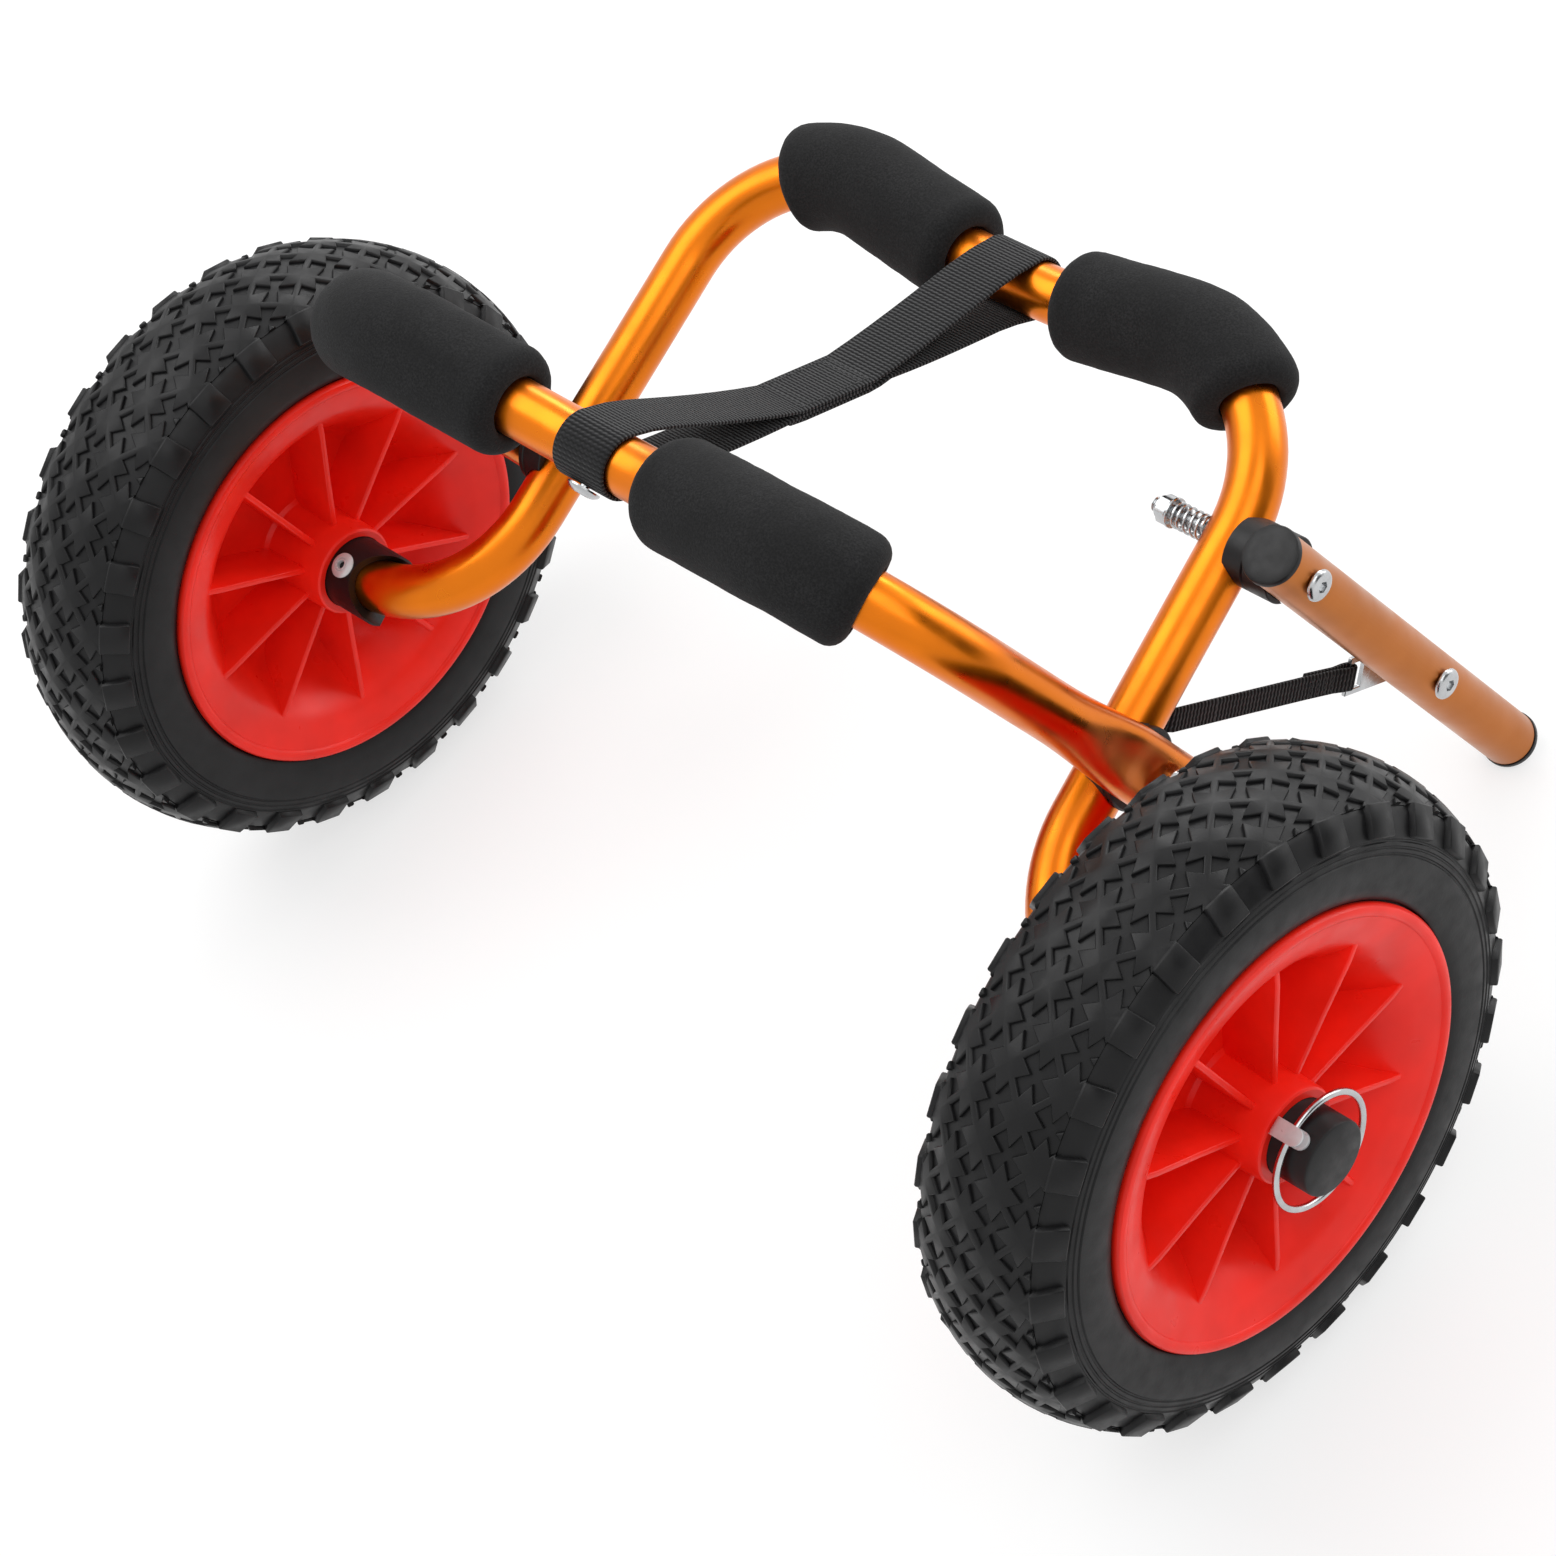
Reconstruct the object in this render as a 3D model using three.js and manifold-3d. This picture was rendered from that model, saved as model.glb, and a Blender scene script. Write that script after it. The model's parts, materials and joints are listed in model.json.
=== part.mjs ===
import * as THREE from 'three';
import Module from 'manifold-3d';
import { mergeVertices } from 'three/addons/utils/BufferGeometryUtils.js';

// A folding kayak cart: two bent tube frames crossing at a pivot, a webbing strap that holds them
// open, foam pads, two solid-tyred wheels on plastic axle sleeves, and a sprung kickstand.
// Millimetres. Every piece is drawn in the axle frame's own space: x runs along the axle, z runs up
// the legs of the axle frame, and y stands square to it, towards the kickstand's foot. The chassis
// group then leans that space back, so that the cart stands on its wheels and its kickstand, +z up.

const wasm = await Module();
wasm.setup();

// Wheels: ten inch, measured against the photographed ellipses
const WHEEL_RADIUS = 127;
const TRACK = 505.4;
const TYRE_HALF_WIDTH = 33;
const TYRE_SEAT_RADIUS = 76;
const RIM_RADIUS = 85.8;
const HUB_HALF_WIDTH = 36;
const WHEEL_SEGMENTS = 24;
const RIB_COUNT = 10;
const RIB_THICKNESS = 2.6;
const RIB_TURN = 1.5;
const LUG_COUNT = 24;

// Tubes
const TUBE_RADIUS = 11;
const TUBE_WALL = 1.6;
const TUBE_SIDES = 12;
const BEND_STEP = 20;
const FIT_GAP = 0.3;

// Axle frame: half widths, heights up the leg, bend radii
const AXLE_LEG_FOOT_X = 149.3;
const AXLE_LEG_TOP_X = 143;
const AXLE_END_X = 288;
const BEND_RADIUS = 60;
const DIP_X = 22;
const BAR_RISE = 0.13;
const AXLE_BAR_Z = 224;
const AXLE_CORNER_Z = AXLE_BAR_Z + BAR_RISE * (AXLE_LEG_TOP_X - DIP_X);

// Cradle frame: lies square to the axle frame at the pivot and points away from the kickstand
const PIVOT_Z = 84;
const CRADLE_LEG_X = 168.5;
const CRADLE_CORNER_X = 150;
const CRADLE_REACH = 153.5;
const CRADLE_CORNER_REACH = CRADLE_REACH + BAR_RISE * (CRADLE_CORNER_X - DIP_X);
const CRADLE_TAIL = 12;
const SPLAY_REACH = 28;
const FLAT_HALF_THICKNESS = 7.2;
const FLAT_HALF_WIDTH = 13.6;
const FLAT_LENGTH = 16;
const FLAT_TAPER = 72;

// Foam pads, measured along the tube from the middle of the bar
const PAD_RADIUS = 21.3;
const PAD_EDGE = 8;
const AXLE_PAD_RIGHT = [30, 125];
const AXLE_PAD_LEFT = [24, 119];
const CRADLE_PAD_RIGHT = [34, 134];
const CRADLE_PAD_LEFT = [44, 144];

// Axle sleeves
const SLEEVE_RADIUS = 15.2;
const SPINDLE_RADIUS = 14.6;
const SLEEVE_START_X = 190;
const SHOULDER_X = 224;
const SPINDLE_END_X = 306;
const MOUTH_X = 188.5;
const MOUTH_RADIUS = 15.5;
const SLEEVE_RIVET_X = 210;

// Retaining pin and its wire ring
const PIN_X = 296;
const PIN_RADIUS = 3;
const PIN_TIP_Y = 17;
const TAB_Y = -18.1;
const TAB_HALF_WIDTH = 4.5;
const WIRE_RADIUS = 1.3;
const RING_RADIUS = 22.5;

// Pivot hardware
const PIVOT_BOLT_RADIUS = 3.9;
const SPACER_RADIUS = 16.5;

// Kickstand
const STAND_X = 174;
const STAND_Z = 171.5;
const STAND_CAP_Y = -20;
const STAND_FOOT_Y = 198;
const CAP_THICKNESS = 3;
const CAP_RADIUS = 11.4;
const STAND_BOLT_Y = 112;
const SMALL_BOLT_RADIUS = 2.9;
const SADDLE_RADIUS = 15;
const SADDLE_SPLIT_X = 160.4;
const SPRING_START_X = 117.8;
const SPRING_RADIUS = 4.7;
const SPRING_WIRE = 0.55;
const SPRING_TURNS = 5.5;

// Straps
const STRAP_WIDTH = 26;
const STRAP_THICKNESS = 1.6;
const STRAP_SAG = 11;
const STRAP_NEAR_X = -1;
const SEWN_HALF_LENGTH = 18;
const LIMIT_WIDTH = 10;
const LIMIT_THICKNESS = 1.6;
const LIMIT_FOOT_Z = 103;
const LIMIT_RIVET_X = 143.5;
const BRACKET_THICKNESS = 1.8;
const BRACKET_REACH = 30;
const BRACKET_HALF_WIDTH = 8;
const BRACKET_BAR = 2.2;
const BRACKET_SLOT = 6;

const material = (color, roughness, metalness) =>
  new THREE.MeshStandardMaterial({ color, roughness, metalness });

const ORANGE = material(0xe8791a, 0.32, 0.85);
const STAND_ORANGE = material(0xc8743a, 0.5, 0.6);
const FOAM = material(0x2b2b2b, 0.95, 0);
const RUBBER = material(0x262727, 0.85, 0);
const RED = material(0xc81f16, 0.45, 0);
const BLACK = material(0x1c1c1d, 0.55, 0);
const STEEL = material(0xc4c6c8, 0.25, 1);
const WEBBING = material(0x18191a, 0.9, 0);

const vec = (x, y, z) => new THREE.Vector3(x, y, z);
const radians = THREE.MathUtils.degToRad;
const LIMIT_START = vec(150.2, 16, 105.2);

// The lean at which the lowest edge of the kickstand's foot meets the floor
const footReach = Math.hypot(STAND_FOOT_Y, STAND_Z - CAP_RADIUS);
const footBearing = Math.atan2(STAND_FOOT_Y, STAND_Z - CAP_RADIUS);
const LEAN = Math.acos(-WHEEL_RADIUS / footReach) - footBearing;

// Turns a geometry the right way out, by the sign of the volume its faces enclose
function outward(geometry) {
  const positions = geometry.attributes.position;
  const index = geometry.index.array;
  const corner = (i) => vec().fromBufferAttribute(positions, index[i]);
  let volume = 0;
  for (let i = 0; i < index.length; i += 3) {
    volume += corner(i).dot(corner(i + 1).cross(corner(i + 2)));
  }
  if (volume < 0) {
    for (let i = 0; i < index.length; i += 3) {
      [index[i + 1], index[i + 2]] = [index[i + 2], index[i + 1]];
    }
  }
  return geometry;
}

// Keeps only positions, with shared corners merged
function bare(geometry) {
  const plain = geometry.clone();
  plain.deleteAttribute('normal');
  plain.deleteAttribute('uv');
  return outward(mergeVertices(plain, 1e-3));
}

function toSolid(geometry) {
  const plain = bare(geometry);
  const shape = {
    numProp: 3,
    vertProperties: new Float32Array(plain.attributes.position.array),
    triVerts: new Uint32Array(plain.index.array),
  };
  return new wasm.Manifold(new wasm.Mesh(shape));
}

function toGeometry(solid) {
  const shape = solid.getMesh();
  const geometry = new THREE.BufferGeometry();
  geometry.setAttribute('position', new THREE.BufferAttribute(shape.vertProperties, 3));
  geometry.setIndex(new THREE.BufferAttribute(shape.triVerts, 1));
  return geometry;
}

// Cuts each tool out of a geometry
function cut(geometry, ...tools) {
  let solid = toSolid(geometry);
  for (const tool of tools) solid = solid.subtract(toSolid(tool));
  return toGeometry(solid);
}

function fuse(geometry, ...others) {
  let solid = toSolid(geometry);
  for (const other of others) solid = solid.add(toSolid(other));
  return toGeometry(solid);
}

const common = (a, b) => toGeometry(toSolid(a).intersect(toSolid(b)));

// Mirrors a geometry across the cart's middle
const mirrored = (geometry) =>
  outward(bare(geometry).applyMatrix4(new THREE.Matrix4().makeScale(-1, 1, 1)));

// A turned piece about an axis along x, from [radius, x] pairs
function turned(profile, segments) {
  const points = profile.map(([radius, x]) => new THREE.Vector2(radius, x));
  return new THREE.LatheGeometry(points, segments).rotateZ(-Math.PI / 2);
}

// A flat outline given a thickness along z
function extruded(outline, depth, curveSegments = 6) {
  return new THREE.ExtrudeGeometry(outline, { depth, bevelEnabled: false, curveSegments });
}

// A plain round bar between two points
function rod(radius, from, to, sides = 12) {
  const along = to.clone().sub(from);
  const bar = new THREE.CylinderGeometry(radius, radius, along.length(), sides);
  bar.applyQuaternion(new THREE.Quaternion().setFromUnitVectors(vec(0, 1, 0), along.clone().normalize()));
  const middle = from.clone().add(to).multiplyScalar(0.5);
  return bar.translate(middle.x, middle.y, middle.z);
}

// Skins a row of rings into one closed body; a looped row joins its last ring to its first
function skin(rings, looped = false) {
  const sides = rings[0].length;
  const points = rings.flat();
  const faces = [];
  const spans = looped ? rings.length : rings.length - 1;
  for (let i = 0; i < spans; i += 1) {
    const a = i * sides;
    const b = ((i + 1) % rings.length) * sides;
    for (let j = 0; j < sides; j += 1) {
      const k = (j + 1) % sides;
      faces.push(a + j, b + j, b + k, a + j, b + k, a + k);
    }
  }
  if (!looped) {
    const last = (rings.length - 1) * sides;
    for (let j = 1; j < sides - 1; j += 1) {
      faces.push(0, j, j + 1, last, last + j + 1, last + j);
    }
  }
  const geometry = new THREE.BufferGeometry().setFromPoints(points);
  geometry.setIndex(faces);
  return outward(geometry);
}

// A flat route of straight runs and round bends: stations with place, heading and run so far
function bentRoute(corners) {
  const stations = [];
  let run = 0;
  const add = (u, v, du, dv) => {
    const last = stations.at(-1);
    if (last) run += Math.hypot(u - last.u, v - last.v);
    stations.push({ u, v, du, dv, run });
  };
  const heading = (a, b) => Math.atan2(b.v - a.v, b.u - a.u);
  const first = heading(corners[0], corners[1]);
  add(corners[0].u, corners[0].v, Math.cos(first), Math.sin(first));
  for (let i = 1; i < corners.length - 1; i += 1) {
    const { u, v, radius } = corners[i];
    const before = heading(corners[i - 1], corners[i]);
    const after = heading(corners[i], corners[i + 1]);
    const turn = Math.atan2(Math.sin(after - before), Math.cos(after - before));
    const side = Math.sign(turn);
    const inset = radius * Math.tan(Math.abs(turn) / 2);
    const startU = u - inset * Math.cos(before);
    const startV = v - inset * Math.sin(before);
    const centreU = startU - side * radius * Math.sin(before);
    const centreV = startV + side * radius * Math.cos(before);
    const steps = Math.max(2, Math.ceil(Math.abs(turn) / radians(BEND_STEP)));
    for (let k = 0; k <= steps; k += 1) {
      const angle = before + (turn * k) / steps;
      const placeU = centreU + side * radius * Math.sin(angle);
      const placeV = centreV - side * radius * Math.cos(angle);
      add(placeU, placeV, Math.cos(angle), Math.sin(angle));
    }
  }
  const end = corners.at(-1);
  const final = heading(corners.at(-2), end);
  add(end.u, end.v, Math.cos(final), Math.sin(final));
  return stations;
}

// The station at a given run, on the chord between its neighbours
function stationAt(route, run) {
  const next = Math.max(1, route.findIndex((s) => s.run >= run - 1e-6));
  const a = route[next - 1];
  const b = route[next];
  const t = (run - a.run) / (b.run - a.run);
  const mix = (key) => a[key] + (b[key] - a[key]) * t;
  const size = Math.hypot(mix('du'), mix('dv'));
  return { u: mix('u'), v: mix('v'), du: mix('du') / size, dv: mix('dv') / size, run };
}

// Part of a route, with the chosen extra runs and every station between them
function stretch(route, runs) {
  const low = Math.min(...runs);
  const high = Math.max(...runs);
  const between = route.map((s) => s.run).filter((run) => run > low + 1 && run < high - 1);
  const wanted = between.filter((run) => runs.every((other) => Math.abs(other - run) > 1));
  return [...runs, ...wanted].sort((a, b) => a - b).map((run) => stationAt(route, run));
}

// The planes in which the two frames lie
const AXLE_PLANE = { origin: vec(0, 0, 0), u: vec(1, 0, 0), v: vec(0, 0, 1), across: vec(0, 1, 0) };
const CRADLE_PLANE = { origin: vec(0, 0, PIVOT_Z), u: vec(1, 0, 0), v: vec(0, -1, 0), across: vec(0, 0, 1) };

// One ring of a tube: an ellipse square to the route, wide in the plane and across it
function ring(plane, station, inPlane, across, sides = TUBE_SIDES) {
  const centre = plane.origin.clone().addScaledVector(plane.u, station.u).addScaledVector(plane.v, station.v);
  const side = plane.u.clone().multiplyScalar(-station.dv).addScaledVector(plane.v, station.du);
  const points = [];
  for (let j = 0; j < sides; j += 1) {
    const angle = (2 * Math.PI * j) / sides;
    const point = centre.clone().addScaledVector(side, inPlane * Math.cos(angle));
    points.push(point.addScaledVector(plane.across, across * Math.sin(angle)));
  }
  return points;
}

// A hollow tube: outer rings one way, then the bore's rings back
function hollow(plane, stations, outer, inner) {
  const outside = stations.map((s) => ring(plane, s, ...outer(s)));
  const inside = stations.map((s) => ring(plane, s, ...inner(s)));
  return skin([...outside, ...inside.reverse()], true);
}

// Routes of the two frames, from the right end to the left
function symmetricRoute(...half) {
  const corners = half.map(([u, v]) => ({ u, v, radius: BEND_RADIUS }));
  const other = corners.map((c) => ({ ...c, u: -c.u })).reverse();
  return bentRoute([...corners, ...other]);
}

const axleRoute = symmetricRoute(
  [AXLE_END_X, 0],
  [AXLE_LEG_FOOT_X, 0],
  [AXLE_LEG_TOP_X, AXLE_CORNER_Z],
  [DIP_X, AXLE_BAR_Z],
);
const cradleRoute = symmetricRoute(
  [CRADLE_LEG_X, -CRADLE_TAIL],
  [CRADLE_LEG_X, SPLAY_REACH],
  [CRADLE_CORNER_X, CRADLE_CORNER_REACH],
  [DIP_X, CRADLE_REACH],
);
const routeLength = (route) => route.at(-1).run;

// The axle frame's right leg: its centre at a given height, and a round bar along it
const legX = (z) => THREE.MathUtils.mapLinear(z, 0, AXLE_CORNER_Z, AXLE_LEG_FOOT_X, AXLE_LEG_TOP_X);
const legBar = (radius, fromZ, toZ) => rod(radius, vec(legX(fromZ), 0, fromZ), vec(legX(toZ), 0, toZ), 24);

const round = (radius) => () => [radius, radius];

const along = (fromX, toX, y, z) => [vec(fromX, y, z), vec(toX, y, z)];

// Axle frame: bent tube with holes for the pivots, the stand's bolt and three rivets
function axleFrame() {
  const bore = TUBE_RADIUS - TUBE_WALL;
  const tube = hollow(AXLE_PLANE, axleRoute, round(TUBE_RADIUS), round(bore));
  const holes = [rod(SMALL_BOLT_RADIUS + FIT_GAP, ...along(130, 165, 0, STAND_Z))];
  for (const side of [1, -1]) {
    holes.push(rod(PIVOT_BOLT_RADIUS + FIT_GAP, ...along(side * 130, side * 165, 0, PIVOT_Z)));
    const x = side * SLEEVE_RIVET_X;
    holes.push(rod(2.8, vec(x, -14, 0), vec(x, -5, 0), 10));
  }
  holes.push(rod(2.3, vec(LIMIT_RIVET_X, 5, LIMIT_FOOT_Z), vec(LIMIT_RIVET_X, 14, LIMIT_FOOT_Z), 10));
  return cut(tube, ...holes);
}

// How far a leg of the cradle frame is flattened, from its distance to the pivot's end
function flatness(run) {
  const fromEnd = Math.min(run, routeLength(cradleRoute) - run);
  const flatEnd = CRADLE_TAIL + FLAT_LENGTH;
  return 1 - THREE.MathUtils.smoothstep(fromEnd, flatEnd, flatEnd + FLAT_TAPER);
}

function cradleSection(inset) {
  return (station) => {
    const flat = flatness(station.run);
    const thin = THREE.MathUtils.lerp(TUBE_RADIUS, FLAT_HALF_THICKNESS, flat);
    const wide = THREE.MathUtils.lerp(TUBE_RADIUS, FLAT_HALF_WIDTH, flat);
    return [thin - inset, wide - inset];
  };
}

// Cradle frame: its legs pass outside the axle frame's and are pressed flat where they are bolted
function cradleFrame() {
  const total = routeLength(cradleRoute);
  const fade = [0, 0.2, 0.4, 0.6, 0.8, 1].map((t) => CRADLE_TAIL + FLAT_LENGTH + FLAT_TAPER * t);
  const runs = [0, ...fade, ...fade.map((run) => total - run), total];
  const stations = stretch(cradleRoute, runs);
  const tube = hollow(CRADLE_PLANE, stations, cradleSection(0), cradleSection(TUBE_WALL));
  const rivetAt = (z) => vec(STRAP_NEAR_X, -CRADLE_REACH, z);
  const holes = [rod(2.3, rivetAt(PIVOT_Z - 14), rivetAt(PIVOT_Z - 5), 10)];
  for (const side of [1, -1]) {
    holes.push(rod(PIVOT_BOLT_RADIUS + FIT_GAP, ...along(side * 160, side * 190, 0, PIVOT_Z)));
  }
  return cut(tube, ...holes);
}

// A foam pad threaded on a bar: rounded ends, bore just clear of the tube
function pad(plane, route, [from, to], side) {
  const middle = routeLength(route) / 2;
  const ends = [0, 2.4, PAD_EDGE];
  const runs = [...ends.map((d) => from + d), ...ends.map((d) => to - d)].map((d) => middle - side * d);
  const stations = stretch(route, runs);
  const nearest = (s) => Math.min(...[from, to].map((d) => Math.abs(s.run - (middle - side * d))));
  const outer = (s) => {
    const depth = Math.min(nearest(s), PAD_EDGE);
    const radius = PAD_RADIUS - PAD_EDGE + Math.sqrt(PAD_EDGE ** 2 - (PAD_EDGE - depth) ** 2);
    return [radius, radius];
  };
  return hollow(plane, stations, outer, round(TUBE_RADIUS + 0.5));
}

// Axle sleeve: the spindle on which a wheel turns, with a saddle-shaped mouth round the bend
function axleSleeve() {
  const profile = [
    [0, SLEEVE_START_X],
    [SLEEVE_RADIUS, SLEEVE_START_X],
    [SLEEVE_RADIUS, SHOULDER_X],
    [SPINDLE_RADIUS, SHOULDER_X],
    [SPINDLE_RADIUS, SPINDLE_END_X - 1],
    [SPINDLE_RADIUS - 1, SPINDLE_END_X],
    [0, SPINDLE_END_X],
  ];
  const clearance = TUBE_RADIUS + FIT_GAP;
  const inside = axleRoute.filter((s) => s.u > 120 && s.v < 90);
  const tube = skin(inside.map((s) => ring(AXLE_PLANE, s, clearance, clearance)));
  return cut(
    turned(profile, 24),
    tube,
    rod(clearance, vec(AXLE_END_X - 20, 0, 0), vec(AXLE_END_X + 0.5, 0, 0)),
    rod(MOUTH_RADIUS, vec(MOUTH_X, -20, 0), vec(MOUTH_X, 20, 0), 24),
    rod(PIN_RADIUS + FIT_GAP, vec(PIN_X, -20, 0), vec(PIN_X, 20, 0)),
    rod(2.8, vec(SLEEVE_RIVET_X, -20, 0), vec(SLEEVE_RIVET_X, -8, 0), 10),
  );
}

// A domed rivet from [radius, height] pairs, its shank going in from the head
function rivet(headRadius, headHeight, shankRadius, shankLength) {
  const profile = [
    [0, -shankLength],
    [shankRadius, -shankLength],
    [shankRadius, 0],
    [headRadius, 0],
    [headRadius, headHeight * 0.3],
    [headRadius * 0.7, headHeight * 0.8],
    [0, headHeight],
  ];
  return turned(profile, 10);
}

// Retaining pin: a round shank, and a strip folded round the ring's wire as its head
function retainingPin() {
  const strip = new THREE.Shape();
  const middle = -TAB_Y;
  const low = middle - 3.1;
  const high = middle + 3.1;
  const inner = 289.8;
  const outer = 302;
  strip.moveTo(outer, low);
  strip.lineTo(outer, low + 1.1);
  strip.absarc(inner + 3.1, middle, 2, -Math.PI / 2, Math.PI / 2, true);
  strip.lineTo(outer, high - 1.1);
  strip.lineTo(outer, high);
  strip.absarc(inner + 3.1, middle, 3.1, Math.PI / 2, -Math.PI / 2, false);
  const folded = extruded(strip, 2 * TAB_HALF_WIDTH, 5);
  folded.translate(0, 0, -TAB_HALF_WIDTH).rotateX(Math.PI);
  const plan = new THREE.Shape();
  plan.moveTo(inner - 1, -TAB_HALF_WIDTH);
  plan.lineTo(outer - TAB_HALF_WIDTH, -TAB_HALF_WIDTH);
  plan.absarc(outer - TAB_HALF_WIDTH, 0, TAB_HALF_WIDTH, -Math.PI / 2, Math.PI / 2, false);
  plan.lineTo(inner - 1, TAB_HALF_WIDTH);
  const trim = extruded(plan, 12, 6);
  trim.rotateX(Math.PI / 2).translate(0, -12, 0);
  const shank = rod(PIN_RADIUS, vec(PIN_X, TAB_Y + 2.5, 0), vec(PIN_X, PIN_TIP_Y, 0));
  return fuse(common(folded, trim), shank);
}

function pinRing() {
  const wire = new THREE.TorusGeometry(RING_RADIUS, WIRE_RADIUS, 6, 24).rotateY(Math.PI / 2);
  return wire.translate(PIN_X + 1, TAB_Y + RING_RADIUS, 0);
}

// Tyre: solid rubber with square-cut shoulder lugs
function tyre() {
  const crown = 1 / Math.cos(Math.PI / WHEEL_SEGMENTS);
  const half = [
    [TYRE_SEAT_RADIUS + 0.4, 29.6],
    [RIM_RADIUS + 0.4, 29.6],
    [88, TYRE_HALF_WIDTH - 0.6],
    [104, TYRE_HALF_WIDTH],
    [113.5, 31],
    [120.5, 26],
    [WHEEL_RADIUS * crown, 11],
  ];
  const profile = [...half, ...half.map(([r, h]) => [r, -h]).reverse(), half[0]];
  const body = turned(profile, WHEEL_SEGMENTS).rotateX(Math.PI / WHEEL_SEGMENTS);
  const lugs = [];
  for (const side of [1, -1]) {
    for (let k = 0; k < LUG_COUNT; k += 1) {
      lugs.push(shoulderLug(side).rotateX((2 * Math.PI * k) / LUG_COUNT));
    }
  }
  return fuse(body, ...lugs);
}

// One block on the tyre's shoulder, standing proud of the carcass
function shoulderLug(side) {
  const lug = new THREE.Shape();
  lug.moveTo(side * 17, 121);
  lug.lineTo(side * 30.5, 110);
  lug.lineTo(side * 33.6, 112);
  lug.lineTo(side * 28, 121.4);
  lug.lineTo(side * 17, 126.6);
  const block = extruded(lug, 15);
  return block.translate(0, 0, -7.5).rotateX(Math.PI / 2);
}

// Rim: moulded barrel, dished web and hub, with ribs on both faces; the bore is stepped inboard
function rim() {
  const face = [
    [TYRE_SEAT_RADIUS, 29.9],
    [RIM_RADIUS, 29.9],
    [RIM_RADIUS - 0.8, 33.9],
    [79.6, 33.9],
    [77, 32],
    [68.5, 28.5],
    [60.5, 20.5],
    [53, 9.5],
    [45, 4],
    [20.5, 4],
    [18.2, HUB_HALF_WIDTH],
  ];
  const sleeveBore = SLEEVE_RADIUS + FIT_GAP;
  const spindleBore = SPINDLE_RADIUS + FIT_GAP;
  const stepX = SHOULDER_X + FIT_GAP - TRACK / 2;
  const bore = [
    [spindleBore, HUB_HALF_WIDTH],
    [spindleBore, stepX],
    [sleeveBore, stepX],
    [sleeveBore, -HUB_HALF_WIDTH],
  ];
  const profile = [...face, ...bore, ...face.map(([r, h]) => [r, -h]).reverse(), face[0]];
  const ribs = [];
  for (let k = 0; k < RIB_COUNT; k += 1) {
    ribs.push(rib().rotateX(radians(-RIB_TURN) + (2 * Math.PI * k) / RIB_COUNT));
  }
  return fuse(turned(profile, WHEEL_SEGMENTS).rotateX(Math.PI / WHEEL_SEGMENTS), ...ribs);
}

// One rib plate, from the hub's wall to the barrel, seen on both faces of the rim
function rib() {
  const plate = new THREE.Shape();
  const edge = [[17, -28], [17, 28], [69.6, 28], [72, 0], [69.6, -28]];
  edge.forEach(([radius, h], i) => (i ? plate.lineTo(h, radius) : plate.moveTo(h, radius)));
  const slab = extruded(plate, RIB_THICKNESS);
  return slab.translate(0, 0, -RIB_THICKNESS / 2).rotateX(Math.PI / 2);
}

// Pivot spacer: a round plastic saddle that hugs the axle frame's leg
function pivotSpacer() {
  const outerX = CRADLE_LEG_X - FLAT_HALF_THICKNESS - FIT_GAP;
  const profile = [
    [0, 148],
    [SPACER_RADIUS, 148],
    [SPACER_RADIUS, outerX - 1],
    [SPACER_RADIUS - 1, outerX],
    [0, outerX],
  ];
  const block = turned(profile, 20);
  block.translate(0, 0, PIVOT_Z);
  const boltHole = rod(PIVOT_BOLT_RADIUS + FIT_GAP, ...along(140, 175, 0, PIVOT_Z));
  return cut(block, legBar(TUBE_RADIUS + FIT_GAP, 50, 120), boltHole);
}

// A bolt along x: a low button head with a hex socket outboard, and a plain shank
function buttonBolt(shankRadius, headRadius, headX, tipX) {
  const rise = headRadius * 0.36;
  const profile = [
    [0, tipX],
    [shankRadius - 0.5, tipX],
    [shankRadius, tipX + 1],
    [shankRadius, headX],
    [headRadius, headX],
    [headRadius, headX + rise * 0.35],
    [headRadius * 0.72, headX + rise],
    [0, headX + rise],
  ];
  const socket = rod(headRadius * 0.34, vec(headX + rise * 0.35, 0, 0), vec(headX + rise + 1, 0, 0), 6);
  return cut(turned(profile, 12), socket);
}

// A nut along x: hexagon with a round lock collar on its free side
function lockNut(boltRadius, halfFlats, innerX, outerX) {
  const hexagon = rod(halfFlats / Math.cos(Math.PI / 6), vec(innerX + 1.4, 0, 0), vec(outerX, 0, 0), 6);
  const collar = rod(halfFlats * 0.88, vec(innerX, 0, 0), vec(innerX + 2, 0, 0), 12);
  return cut(fuse(hexagon, collar), rod(boltRadius + FIT_GAP, vec(innerX - 2, 0, 0), vec(outerX + 2, 0, 0)));
}

// Kickstand saddle, in two halves that turn on each other at a flat face
function saddleHalf(fromX, toX, tube) {
  const block = turned([[0, fromX], [SADDLE_RADIUS, fromX], [SADDLE_RADIUS, toX], [0, toX]], 20);
  block.translate(0, 0, STAND_Z);
  return cut(block, tube, rod(SMALL_BOLT_RADIUS + FIT_GAP, ...along(120, 200, 0, STAND_Z)));
}

const saddleBore = TUBE_RADIUS + FIT_GAP;
const standBar = (radius, fromY, toY, sides) =>
  rod(radius, vec(STAND_X, fromY, STAND_Z), vec(STAND_X, toY, STAND_Z), sides);

const legSaddle = () =>
  saddleHalf(148, SADDLE_SPLIT_X - FIT_GAP / 2, legBar(saddleBore, STAND_Z - 30, STAND_Z + 30));

const standSaddle = () => saddleHalf(SADDLE_SPLIT_X + FIT_GAP / 2, 172, standBar(saddleBore, -30, 30, 24));

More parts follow.
